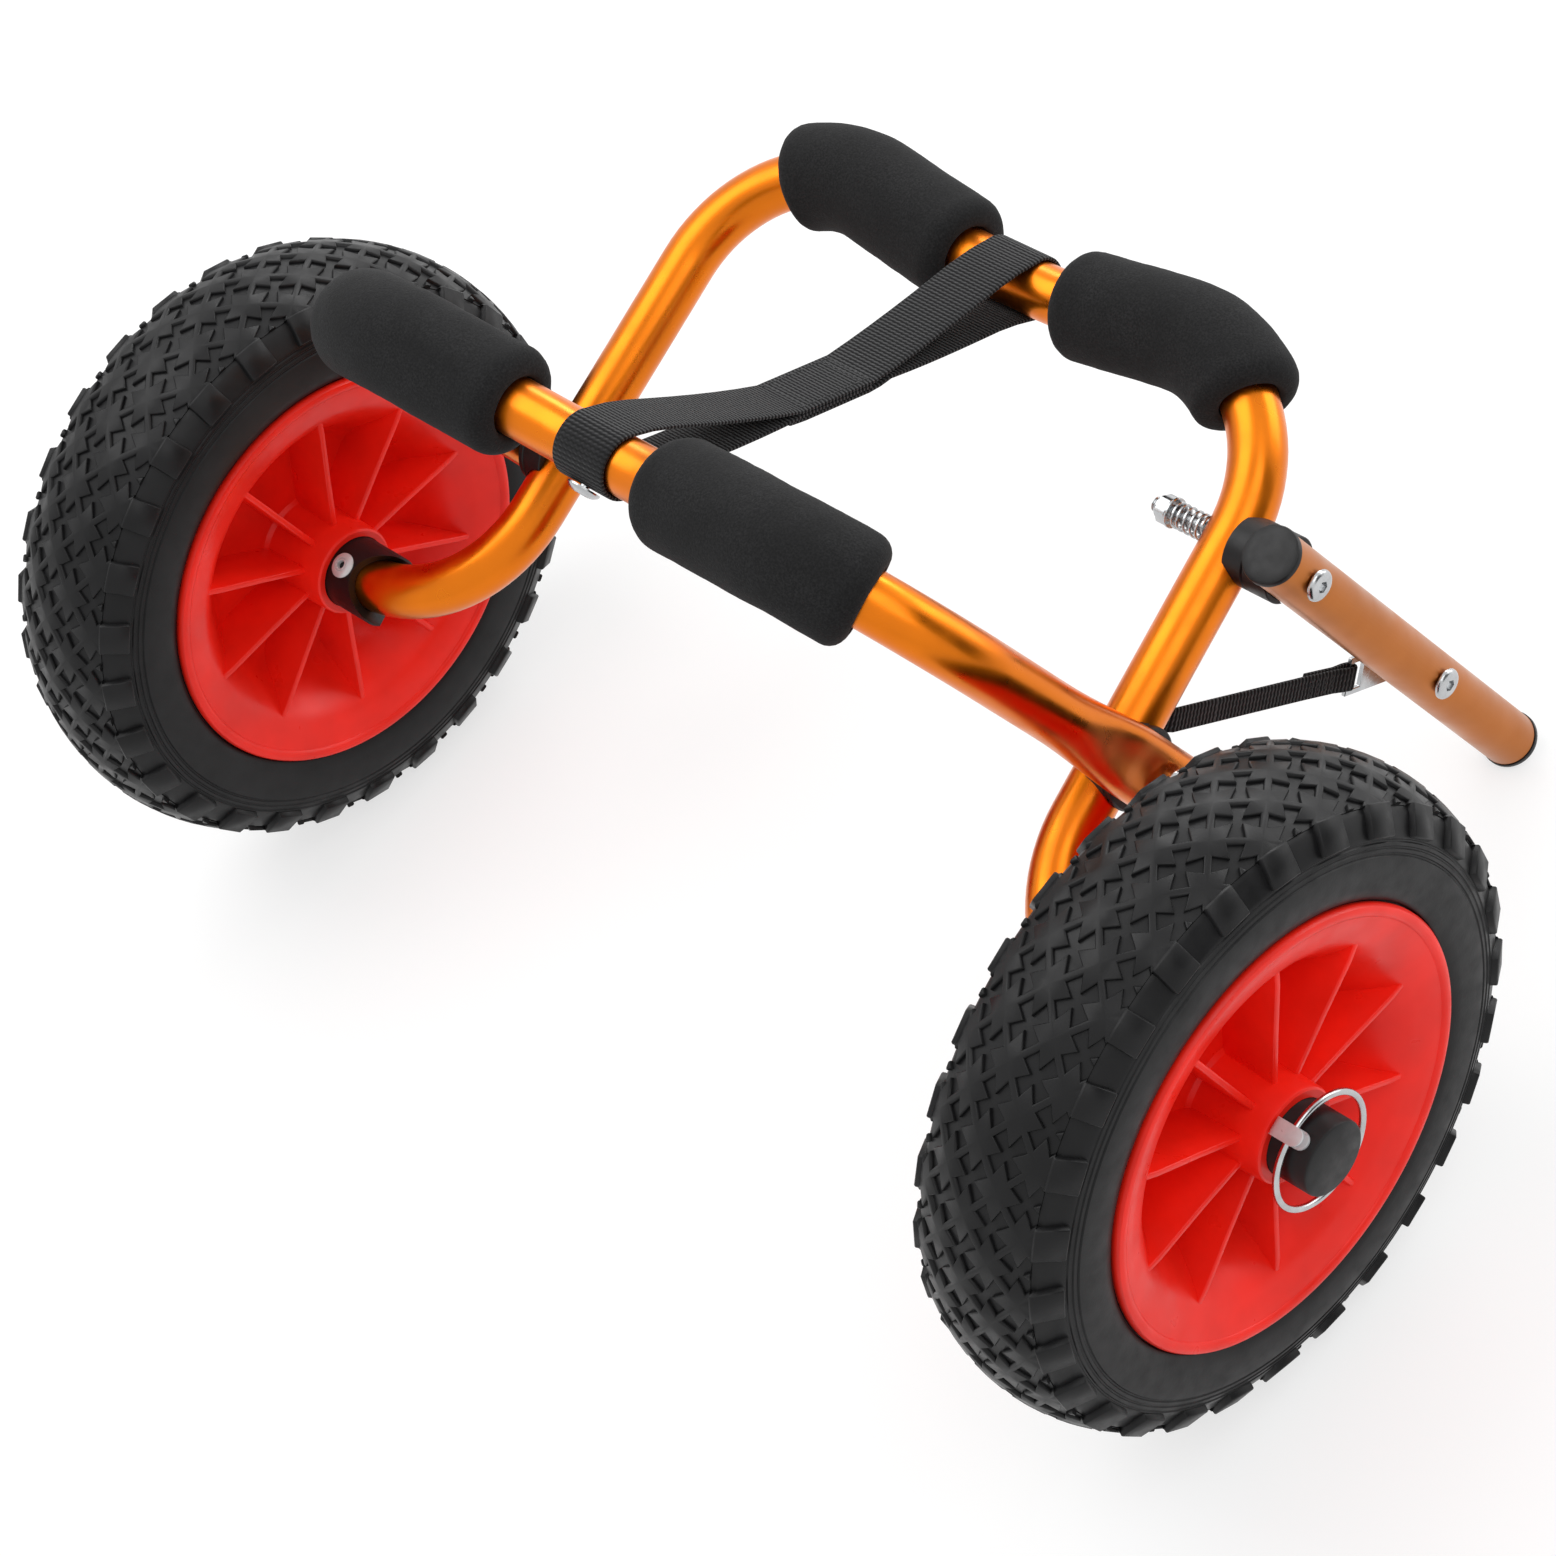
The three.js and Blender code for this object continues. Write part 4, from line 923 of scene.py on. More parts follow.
def tread_cell():
    """One cell of the tread: a cross-shaped hollow with flared arms in a lozenge of rubber"""
    neck, arm, flare, edge = 0.09, 0.43, 0.175, 0.5
    bm = bmesh.new()
    spots = {}

    def corner(p, q):
        key = (round(p, 4), round(q, 4))
        if key not in spots:
            spots[key] = bm.verts.new((ROW * (p - q), PITCH / 2 * (p + q), 0))
        return spots[key]

    def quarter(turns, points):
        for _ in range(turns):
            points = [(-q, p) for p, q in points]
        return bm.faces.new([corner(p, q) for p, q in points])

    for turns in range(4):
        quarter(turns, [(neck, neck), (arm, flare), (edge, flare), (edge, edge)])
        quarter(turns, [(neck, neck), (edge, edge), (flare, edge), (flare, arm)])
        quarter(turns, [(arm, flare), (arm, -flare), (edge, -flare), (edge, flare)])
    hollow = [quarter(0, [(neck, neck), (-neck, neck), (-neck, -neck), (neck, -neck)])]
    for turns in range(4):
        hollow.append(quarter(turns, [(neck, -neck), (arm, -flare), (arm, flare), (neck, neck)]))
    sunk = new_verts(bmesh.ops.extrude_face_region(bm, geom=hollow)["geom"])
    bmesh.ops.delete(bm, geom=hollow, context="FACES")
    for vert in sunk:
        vert.co *= HOLLOW_TAPER
        vert.co.z = -size("tread_depth")
    rims = [
        e
        for e in bm.edges
        if len(e.link_faces) == 2
        and all(abs(v.co.z) < 1e-6 for v in e.verts)
        and any(min(v.co.z for v in f.verts) < -0.5 for f in e.link_faces)
    ]
    return bevelled(bm, rims, 0.45)


def on_tyre(point):
    """Wraps a flat tread point (across, along, height) round the tyre's crowned tread"""
    lean = point.x / CROWN_RADIUS
    reach = CROWN_RADIUS + point.z
    across = reach * math.sin(lean)
    radius = WHEEL_RADIUS - CROWN_RADIUS + reach * math.cos(lean)
    angle = point.y / WHEEL_RADIUS
    return Vector((across, radius * math.cos(angle), radius * math.sin(angle)))


def tread_band():
    """The whole tread: rows of cells, trimmed at both shoulders and wrapped into a hoop"""
    cell = meshed("tread_cell", tread_cell())
    bm = bmesh.new()
    for row in range(-3, 4):
        for k in range(TREAD_PITCHES):
            before = len(bm.verts)
            bm.from_mesh(cell)
            bm.verts.ensure_lookup_table()
            place = shift(ROW * row, PITCH * (k + 0.5 * (row % 2)), 0)
            bmesh.ops.transform(bm, matrix=place, verts=bm.verts[before:])
    bpy.data.meshes.remove(cell)
    bmesh.ops.remove_doubles(bm, verts=bm.verts, dist=0.01)
    for side in (1, -1):
        bmesh.ops.bisect_plane(
            bm,
            geom=list(bm.verts) + list(bm.edges) + list(bm.faces),
            dist=1e-4,
            plane_co=(side * TREAD_HALF, 0, 0),
            plane_no=(side, 0, 0),
            clear_outer=True,
        )
    edges = [e for e in bm.edges if e.is_boundary]
    rims = [e for e in edges if all(abs(v.co.x) > TREAD_HALF - 0.01 for v in e.verts)]
    for vert in new_verts(bmesh.ops.extrude_edge_only(bm, edges=rims)["geom"]):
        vert.co.z = -TREAD_SKIRT
    for vert in bm.verts:
        vert.co = on_tyre(vert.co)
    bmesh.ops.remove_doubles(bm, verts=bm.verts, dist=0.02)
    bmesh.ops.bridge_loops(bm, edges=[e for e in bm.edges if e.is_boundary])
    return merged(bm, 0.005)


# One half of the tyre's section, as (radius, distance) pairs from its seat to under the tread
SIDEWALL = [(76.4, 29.6), (86.2, 29.6), (86.9, 31.2), (88.6, 32.3), (92, 32.9), (97, 33.1)]
SIDEWALL += [(101.5, 33.0), (103.6, 32.7), (104.0, 32.1), (104.5, 32.1), (104.9, 32.5)]
SIDEWALL += [(106.0, 32.3), (106.3, 31.8), (106.8, 31.75), (107.2, 32.1), (108.3, 31.8)]
SIDEWALL += [(108.6, 31.3), (109.1, 31.2), (109.5, 31.5), (110.6, 31.1), (112.5, 29.6)]
SIDEWALL += [(117.6, 26.9), (118.8, 25.2), (118.6, 22), (121, 14)]


def mirrored(half):
    """A section's other half, in the order that closes it"""
    return [(radius, -distance) for radius, distance in reversed(half)]


def carcass():
    """The tyre's sidewalls and shoulders, with fine moulded rings, and what lies under the tread"""
    return turned(SIDEWALL + mirrored(SIDEWALL), 168, closed=True)


def shoulder_lug(side):
    """One block on the tyre's shoulder, a little smaller at its face"""
    bm = box(12.6, 6.2, 13.4)
    for vert in bm.verts:
        if vert.co.y > 0:
            vert.co.x *= 0.95
            vert.co.z *= 0.93
    return moved(softened(bm, 0.45, 1), turn(-58 * side, "Z"), shift(side * 27.6, 114.7, 0))


def tyre_tread():
    """The tread band with its blocks on both shoulders"""
    bm = tread_band()
    for side in (1, -1):
        for k in range(TREAD_PITCHES):
            added(bm, shoulder_lug(side), turn(360 * (k + 0.5) / TREAD_PITCHES))
    return bm


# One half of the rim's section, as (radius, distance) pairs from its flange to the hub's face
RIM_FACE = [(76, 29.9), (85.8, 29.9), (86.1, 31.2), (86.0, 32.6), (85.3, 33.6), (84.2, 34.0)]
RIM_FACE += [(82.6, 33.9), (81.6, 33.3), (81.2, 32.6), (79.8, 32.3), (77.6, 31.8), (75.6, 31.0)]
RIM_FACE += [(71.5, 29.6), (68.5, 27.9), (65.2, 24.9), (60.5, 19.4), (56.6, 13.9), (52.6, 8.6)]
RIM_FACE += [(48.8, 5.3), (44.4, 4.1), (30, 4.0), (22.4, 4.2), (20.8, 5.6), (20.2, 8.0)]
RIM_FACE += [(19.4, 22), (19.0, 34.2), (18.6, 35.4), (17.8, 36)]


def rim_body():
    """The moulded rim: rolled flanges, dished web and hub, its bore stepped inboard"""
    bore = [(14.9, 36), (14.9, -28.4), (15.5, -28.4), (15.5, -36)]
    return turned(RIM_FACE + bore + mirrored(RIM_FACE), 144, closed=True)


def rim_rib():
    """One thin rib plate across the dish, with soft edges"""
    edge = [(17, 27.2), (40, 27.6), (63, 28.4), (69.4, 28.0), (70.4, 26.6), (72, 0)]
    outline = edge + mirrored(edge[:-1])
    return softened(slab([(h, r) for r, h in outline], 2.5), 0.7, 3, 60)


def rim():
    """The moulded rim with its ribs"""
    bm = rim_body()
    for k in range(RIBS):
        added(bm, rim_rib(), turn(RIB_TURN + 360 / RIBS * k))
    return bm


class CART_OT_wheels(bpy.types.Operator):
    """Make the two wheels: solid tyres with their tread, and moulded rims"""

    bl_idname = "cart.wheels"
    bl_label = "Wheels"

    def execute(self, context):
        for side, flip in SIDES:
            hub = Matrix.Translation(AXLE) @ Matrix.Scale(MM, 4) @ flip @ shift(TRACK_HALF, 0, 0)
            body, tyre = f"{side}_wheel", [f"tyre_{side}"]
            finished(f"tyre_carcass_{side}", carcass(), "tyre", body, tyre, hub, 28)
            finished(f"tyre_tread_{side}", tyre_tread(), "tyre", body, tyre, hub, 50)
            finished(f"rim_moulding_{side}", rim(), "red_plastic", body, [f"rim_{side}"], hub, 34)
        return {"FINISHED"}


# Bolts and nuts -----------------------------------------------------------------------------------

PIVOT_BOLT = (3.9, 7.5)  # radii of the shank and of the head
STAND_BOLT = (2.9, 6.2)
PIVOT_HOLE = 4.2
THREAD_PITCH = 0.8
THREAD_DEPTH = 0.35


def button_bolt(shank, head, head_x, tip_x, hold_x):
    """A low button head with a hex socket, a plain shank, and a thread from its tip to hold_x"""
    dome = head * 0.38
    root = shank - THREAD_DEPTH
    profile = [(0, tip_x), (shank - 0.7, tip_x)]
    x = tip_x + 0.6
    while x < hold_x:
        profile += [(shank, x), (shank, x + 0.12), (root, x + 0.4), (root, x + 0.5)]
        x += THREAD_PITCH
    profile += [(shank, hold_x + 0.4), (shank, head_x), (head - 0.3, head_x), (head, head_x + 0.3)]
    for angle in range(0, 91, 15):
        a = math.radians(angle)
        level = head_x + dome * (0.25 + 0.75 * math.sin(a))
        profile.append((head * (0.62 + 0.38 * math.cos(a)), level))
    profile += [(head * 0.45, head_x + dome), (0, head_x + dome)]
    socket = rod(head * 0.39, (head_x + dome * 0.2, 0, 0), (head_x + dome + 1, 0, 0), 6)
    return carved(turned(profile, 48), socket)


def lock_nut(bolt, half_flats, inner_x, outer_x):
    """A hexagon with chamfered corners, and a round collar on its free side"""
    hole = bolt + 0.2
    corner = half_flats / math.cos(math.pi / 6)
    hexagon = softened(rod(corner, (inner_x + 1.4, 0, 0), (outer_x, 0, 0), 6), 0.25, 1, 50)
    collar = [(hole, inner_x + 2), (half_flats * 0.9, inner_x + 2)]
    collar += [(half_flats * 0.88, inner_x + 0.6), (half_flats * 0.78, inner_x), (hole, inner_x)]
    bore = rod(hole, (inner_x - 2, 0, 0), (outer_x + 2, 0, 0), 32)
    return added(carved(hexagon, bore), turned(collar, 40, closed=True))


def leg_x(z):
    """Where the middle of the axle frame's leg is, at a height"""
    return LEG_FOOT_X + (LEG_TOP_X - LEG_FOOT_X) * z / LEG_TOP_Z


def leg_cutter(low, high):
    """A cutter along the axle frame's leg"""
    return rod(HUG_RADIUS, (leg_x(low), 0, low), (leg_x(high), 0, high), 64)


def pivot_spacer():
    """A round black saddle between the two frames, hollowed to hug the leg"""
    profile = [(0, 148), (16.2, 148), (16.5, 148.4), (16.5, 156.5), (16.1, 156.9), (16.1, 158.0)]
    profile += [(16.5, 158.4), (16.5, 160.2), (15.7, 161.0), (0, 161.0)]
    block = moved(turned(profile, 72), shift(0, 0, PIVOT_Z))
    hole = rod(PIVOT_HOLE, (140, 0, PIVOT_Z), (175, 0, PIVOT_Z))
    return carved(block, leg_cutter(50, 120), hole)


class CART_OT_pivots(bpy.types.Operator):
    """Make the pivots' spacers, bolts and nuts"""

    bl_idname = "cart.pivots"
    bl_label = "Pivots"

    def execute(self, context):
        lift = shift(0, 0, PIVOT_Z)
        nut_x = leg_x(PIVOT_Z) - 11.5

        def bolt():
            return moved(button_bolt(*PIVOT_BOLT, 176, 124, nut_x - 6), lift)

        def nut():
            return moved(lock_nut(PIVOT_BOLT[0], 6.4, nut_x - 8, nut_x), lift)

        both_sides("spacer", pivot_spacer, "black_plastic", "axle_frame", "pivot_spacer_{side}")
        both_sides("bolt_pivot", bolt, "steel", "axle_frame", "pivot_bolt_{side}")
        both_sides("nut_pivot", nut, "steel", "axle_frame", "pivot_nut_{side}")
        return {"FINISHED"}


# Kickstand ----------------------------------------------------------------------------------------

PLATE_THICKNESS = 1.8
PLATE_X = STAND_X - TUBE_RADIUS - CLEARANCE - PLATE_THICKNESS / 2
LIMIT_ROOT = (150.2, 16, 105.2)
LIMIT_ANGLE = math.atan2(STAND_Z - LIMIT_ROOT[2], STAND_BOLT_Y - LIMIT_ROOT[1])
COIL_RADIUS = 4.7
COIL_WIRE = 0.55
COIL_TURNS = 5.5
SPRING_SEAT = 117.8


def stand_cutter():
    """A cutter along the kickstand's tube, at the saddle"""
    return rod(HUG_RADIUS, (STAND_X, -30, STAND_Z), (STAND_X, 30, STAND_Z), 64)


def stand_tube():
    """The kickstand's straight tube, bored, with its edges broken"""
    profile = [(9.4, -16.7), (10.8, -16.7), (11, -16.4), (11, 194.4), (10.8, 194.7), (9.4, 194.7)]
    bm = moved(turned(profile, 56, closed=True), turn(90, "Z"), shift(STAND_X, 0, STAND_Z))
    bolts = [rod(STAND_HOLE, (160, y, STAND_Z), (190, y, STAND_Z), 24) for y in (0, STAND_BOLT_Y)]
    return carved(bm, *bolts)


def end_plug(face_y, inwards):
    """A tube's black end plug: slightly crowned face, rounded rim and a spigot in the bore"""
    profile = [(0, 0), (7, 0.0), (10.2, 0.1), (11.1, 0.5), (11.4, 1.2), (11.4, 2.8), (11.2, 3)]
    profile += [(9.1, 3), (9.1, 12), (0, 12)]
    return moved(turned(profile, 56), turn(90 * inwards, "Z"), shift(STAND_X, face_y, STAND_Z))


def saddle(start, end, tube):
    """Half of the kickstand's round saddle, hollowed for the tube it holds"""
    edge = SADDLE_RADIUS - 0.4
    profile = [(0, start), (edge, start), (SADDLE_RADIUS, start + 0.4)]
    profile += [(SADDLE_RADIUS, end - 0.4), (edge, end), (0, end)]
    block = moved(turned(profile, 72), shift(0, 0, STAND_Z))
    return carved(block, tube, rod(STAND_HOLE, (120, 0, STAND_Z), (200, 0, STAND_Z)))


def spring():
    """The stand's coil spring: round wire, closer turns at both ends"""
    start, end = SPRING_SEAT + COIL_WIRE, leg_x(STAND_Z) - TUBE_RADIUS - COIL_WIRE - CLEARANCE
    steps = 176
    spots = []
    for i in range(steps + 1):
        t = i / steps
        angle = math.tau * COIL_TURNS * t
        x = start + (end - start) * (t - 0.04 * math.sin(math.tau * t))
        y, z = COIL_RADIUS * math.cos(angle), COIL_RADIUS * math.sin(angle)
        spots.append(Vector((x, y, STAND_Z + z)))
    stations = []
    for i, spot in enumerate(spots):
        ahead = (spots[min(i + 1, steps)] - spots[max(i - 1, 0)]).normalized()
        out = (spot - Vector((spot.x, 0, STAND_Z))).normalized()
        side = ahead.cross(out).normalized()
        stations.append(scaled(axes(side.cross(ahead), side, ahead, spot), COIL_WIRE))
    return merged(swept(10, stations))


def strap_bracket():
    """The slotted plate under the kickstand's lower bolt, which holds the limit strap"""
    bm = moved(box(38, 16, PLATE_THICKNESS), shift(11, 0, 0))
    near = [e for e in bm.edges if all(v.co.x < 0 for v in e.verts)]
    corners = [e for e in near if len({round(v.co.y) for v in e.verts}) == 1]
    bevelled(bm, corners, 7.9, 10)
    slot = moved(box(6, 11.2, 6), shift(24.8, 0, 0))
    bm = softened(carved(bm, slot, rod(STAND_HOLE, (0, 0, -5), (0, 0, 5))), 0.25, 1, 50)
    along = Vector((0, -math.cos(LIMIT_ANGLE), -math.sin(LIMIT_ANGLE)))
    across = Vector((0, math.sin(LIMIT_ANGLE), -math.cos(LIMIT_ANGLE)))
    return moved(bm, axes(along, across, X_AXIS, (PLATE_X, STAND_BOLT_Y, STAND_Z)))


def spring_washer():
    """The washer between the spring and the nut"""
    profile = [(3.2, 116.5), (5.8, 116.5), (6, 116.7), (6, 117.3), (5.8, 117.5), (3.2, 117.5)]
    return moved(turned(profile, 40, closed=True), shift(0, 0, STAND_Z))


class CART_OT_kickstand(bpy.types.Operator):
    """Make the sprung kickstand with its saddle, bolts, plugs and bracket"""

    bl_idname = "cart.kickstand"
    bl_label = "Kickstand"

    def execute(self, context):
        black, stand, carrier = "black_plastic", "kickstand", "stand_carrier"
        lift = shift(0, 0, STAND_Z)
        low = shift(0, STAND_BOLT_Y, STAND_Z)
        shank, head_x = STAND_BOLT[0], STAND_X + HUG_RADIUS
        nut_x = PLATE_X - 1.2
        on_stand = saddle(160.55, 172, stand_cutter())
        on_leg = saddle(151, 160.25, leg_cutter(STAND_Z - 30, STAND_Z + 30))
        pivot = moved(button_bolt(*STAND_BOLT, head_x, 107.5, 112), lift)
        pivot_nut = moved(lock_nut(shank, 5, 110, 116.2), lift)
        low_bolt = moved(button_bolt(*STAND_BOLT, head_x, nut_x - 8, nut_x - 5), low)
        low_nut = moved(lock_nut(shank, 5, nut_x - 6.4, nut_x), low)
        for name, shape, slot, body, node in (
            ("stand_bar", stand_tube(), "stand_tube", stand, "stand_tube"),
            ("stand_plug_top", end_plug(STAND_CAP_Y, 1), black, stand, "stand_cap"),
            ("stand_plug_foot", end_plug(STAND_FOOT_Y, -1), black, stand, "stand_foot"),
            ("saddle_on_stand", on_stand, black, stand, "saddle_stand_half"),
            ("saddle_on_leg", on_leg, black, "axle_frame", "saddle_leg_half"),
            ("washer_spring", spring_washer(), "steel", carrier, "spring_washer"),
            ("bolt_stand_pivot", pivot, "steel", carrier, "stand_pivot_bolt"),
            ("nut_stand_pivot", pivot_nut, "steel", carrier, "stand_pivot_nut"),
            ("bolt_stand_low", low_bolt, "steel", stand, "stand_bolt"),
            ("nut_stand_low", low_nut, "steel", stand, "stand_nut"),
            ("limit_plate", strap_bracket(), "steel", stand, "strap_bracket"),
        ):
            finished(name, shape, slot, body, [node])
        coil = finished("coil_spring", spring(), "steel", nodes=["stand_spring"])
        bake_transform(coil)
        return {"FINISHED"}


# Straps -------------------------------------------------------------------------------------------

WEB_THICKNESS = 1.5
SPAN = math.hypot(CRADLE_REACH, AXLE_BAR_Z - PIVOT_Z)
STRAP_SAG = 9.5
STRAP_NEAR_X = -1
SEWN_HALF = 18
WRAP_RADIUS = 11.4  # inside the loops round the bars
SEAM_INSET = 2.6
STITCH_PITCH = 2.7
LOOP_WIDTH = 10
LOOP_FROM_BOLT = 28.9
LOW_STATIONS = 6
LIMIT_START = Vector(LIMIT_ROOT)
LIMIT_END = Vector(
    (
        PLATE_X,
        STAND_BOLT_Y - LOOP_FROM_BOLT * math.cos(LIMIT_ANGLE),
        STAND_Z - LOOP_FROM_BOLT * math.sin(LIMIT_ANGLE),
    )
)
LIMIT_AHEAD = (LIMIT_END - LIMIT_START).normalized()
LIMIT_FACE = (X_AXIS - LIMIT_AHEAD * LIMIT_AHEAD.x).normalized()
LIMIT_WIDE = LIMIT_FACE.cross(LIMIT_AHEAD)


def line_steps(start, end, count):
    """Points along a straight line, without its first point"""
    return [
        (start[0] + (end[0] - start[0]) * k / count, start[1] + (end[1] - start[1]) * k / count)
        for k in range(1, count + 1)
    ]


def arc_steps(x, radius, start, end, count):
    """Points inside an arc about a place on the x axis, its angles in radians"""
    angles = [start + (end - start) * k / count for k in range(1, count)]
    return [(x + radius * math.cos(a), radius * math.sin(a)) for a in angles]


def web_section(width, thickness):
    """A flat strap's section with rounded selvedges"""
    half, thick = width / 2, thickness / 2
    side = [(half, 0), (half - 0.15, thick * 0.7), (half - 0.7, thick), (half * 0.5, thick)]
    side.append((0, thick))
    top = side + [(-x, y) for x, y in reversed(side[:-1])]
    return top + [(x, -y) for x, y in reversed(top[1:-1])]


def strap_place(x, y, across=0.0):
    """A point of the frame strap: x from the cradle's bar to the axle frame's, y off the sag"""
    near = WEB_THICKNESS + 12.1
    slack = min(x, SPAN - x) - near - 2
    t = min(1.0, max(0.0, slack / (SPAN / 2 - SEWN_HALF - near - 2)))
    sunk = y - STRAP_SAG * t * (1.25 - 0.25 * t * t)
    shear = STRAP_NEAR_X * (1 - x / SPAN)
    along = Vector((0, CRADLE_REACH, AXLE_BAR_Z - PIVOT_Z)) / SPAN
    above = Vector((0, PIVOT_Z - AXLE_BAR_Z, CRADLE_REACH)) / SPAN
    return Vector((across + shear, -CRADLE_REACH, PIVOT_Z)) + along * x + above * sunk


def strap_path():
    """The strap's centre line: sewn middle, round the far bar, back over, and round the near bar"""
    ring = WRAP_RADIUS + WEB_THICKNESS / 2
    ply = WEB_THICKNESS * 0.52
    middle = SPAN / 2
    near, far = middle - SEWN_HALF, middle + SEWN_HALF
    wrap = math.pi / 2 + math.atan2(ring - ply, near)
    touch_x, touch_y = ring * math.cos(math.pi - wrap), ring * math.sin(math.pi - wrap)
    path = [(near - 7 + 4 * k, -3.1 * ply) for k in range(11)]
    path += line_steps((far, -3.1 * ply), (far + 8, -1.4 * ply), 3)
    path += line_steps((far + 8, -1.4 * ply), (SPAN - touch_x, -touch_y), 8)
    path += arc_steps(SPAN, ring, -wrap, wrap, 20)
    path += line_steps((SPAN - touch_x, touch_y), (far, ply), 8)
    path += line_steps((far, ply), (near, ply), 10)
    path += line_steps((near, ply), (touch_x, touch_y), 8)
    path += arc_steps(0, ring, math.pi - wrap, math.pi + wrap, 20)
    path += line_steps((touch_x, -touch_y), (near, -ply), 8)
    return path + line_steps((near, -ply), (far - 2, -ply), 10)


def ribbon(centres, wide, width):
    """Webbing swept along a line of points, its width held along one direction"""
    stations, runs, run = [], [], 0.0
    for i, centre in enumerate(centres):
        ahead = centres[min(i + 1, len(centres) - 1)] - centres[max(i - 1, 0)]
        ahead.normalize()
        face = ahead.cross(wide).normalized()
        stations.append(axes(face.cross(ahead).normalized(), face, ahead, centre))
        run += (centre - centres[i - 1]).length if i else 0.0
        runs.append(run)
    return weave_map(swept(web_section(width, WEB_THICKNESS), stations, runs))


def stitch(length, thickness):
    """One stitch: a small rounded length of thread along x"""
    bm = bmesh.new()
    bmesh.ops.create_uvsphere(bm, u_segments=6, v_segments=4, radius=0.5)
    return moved(bm, turn(90, "Y"), Matrix.Diagonal((length, thickness, thickness, 1)))


def frame_strap_stitches():
    """Rows of stitching through the strap's sewn middle"""
    half = size("strap_width") / 2
    middle = SPAN / 2
    seams = []
    for across in (SEAM_INSET - half, half - SEAM_INSET):
        seams += [(middle - SEWN_HALF + STITCH_PITCH * k + 1.5, across, 0) for k in range(13)]
    for along in (2.0 - SEWN_HALF, 5.5 - SEWN_HALF, SEWN_HALF - 5.5, SEWN_HALF - 2.0):
        seams += [(middle + along, 4.0 - half + 2.6 * k, 90) for k in range(8)]
    bm = bmesh.new()
    for x, across, heading in seams:
        ahead = (strap_place(x + 1, 0) - strap_place(x - 1, 0)).normalized()
        down = -X_AXIS.cross(ahead).normalized()
        for height in (1.02, -2.1):
            spot = strap_place(x, WEB_THICKNESS * height, across)
            added(bm, stitch(2.1, 0.9), axes(ahead, X_AXIS, down, spot) @ turn(heading, "Z"))
    return bm


def frame_strap():
    """The webbing strap that stops the frames from opening further"""
    return ribbon([strap_place(x, y) for x, y in strap_path()], X_AXIS, size("strap_width"))


def limit_route():
    """The limit strap's centre line, looped round the plate's end bar and sewn back on itself"""
    inside = PLATE_THICKNESS / 2 + 0.35 + WEB_THICKNESS / 2
    path = line_steps((-24, -2.0), (-22, -1.5), 1) + line_steps((-22, -1.5), (-8, -1.1), 4)
    path += line_steps((-8, -1.1), (-2.4, -inside), 3)
    path += arc_steps(0, inside, -1.9, 1.9, 10)
    path += line_steps((-1.8, inside), (-8, 0.9), 3) + line_steps((-8, 0.9), (-22, 0.5), 4)
    path += line_steps((-22, 0.5), (2 - (LIMIT_END - LIMIT_START).length, 0), 10)
    centres = [LIMIT_END + LIMIT_AHEAD * x + LIMIT_FACE * y for x, y in path]
    under = ((-0.6, -1.1, -0.3), (-2.4, -2.6, -0.9))
    return centres + [LIMIT_START + Vector(step) for step in under]


def limit_ribbon(centres):
    """A length of the limit strap"""
    return ribbon(centres, LIMIT_WIDE, LOOP_WIDTH)


def limit_stitches():
    """Rows of stitching that close the limit strap's loop"""
    bm = bmesh.new()
    for along in (-10, -13.5, -17, -20.5):
        for across in (-3, -1, 1, 3):
            for height in (1.45, -2.2):
                spot = LIMIT_END + LIMIT_AHEAD * along + LIMIT_FACE * height + LIMIT_WIDE * across
                added(bm, stitch(1.7, 0.6), axes(LIMIT_WIDE, LIMIT_AHEAD, LIMIT_FACE, spot))
    return bm


def limit_foot():
    """The limit strap's riveted foot on the back of the leg"""
    back = HUG_RADIUS + WEB_THICKNESS / 2
    centres = [Vector((137.5 + 1.5 * k, back, 103)) for k in range(9)]
    centres += [Vector((150.3, back + 0.7, 103.3))]
    return ribbon(centres, Vector((0, 0, 1)), LOOP_WIDTH + 0.4)


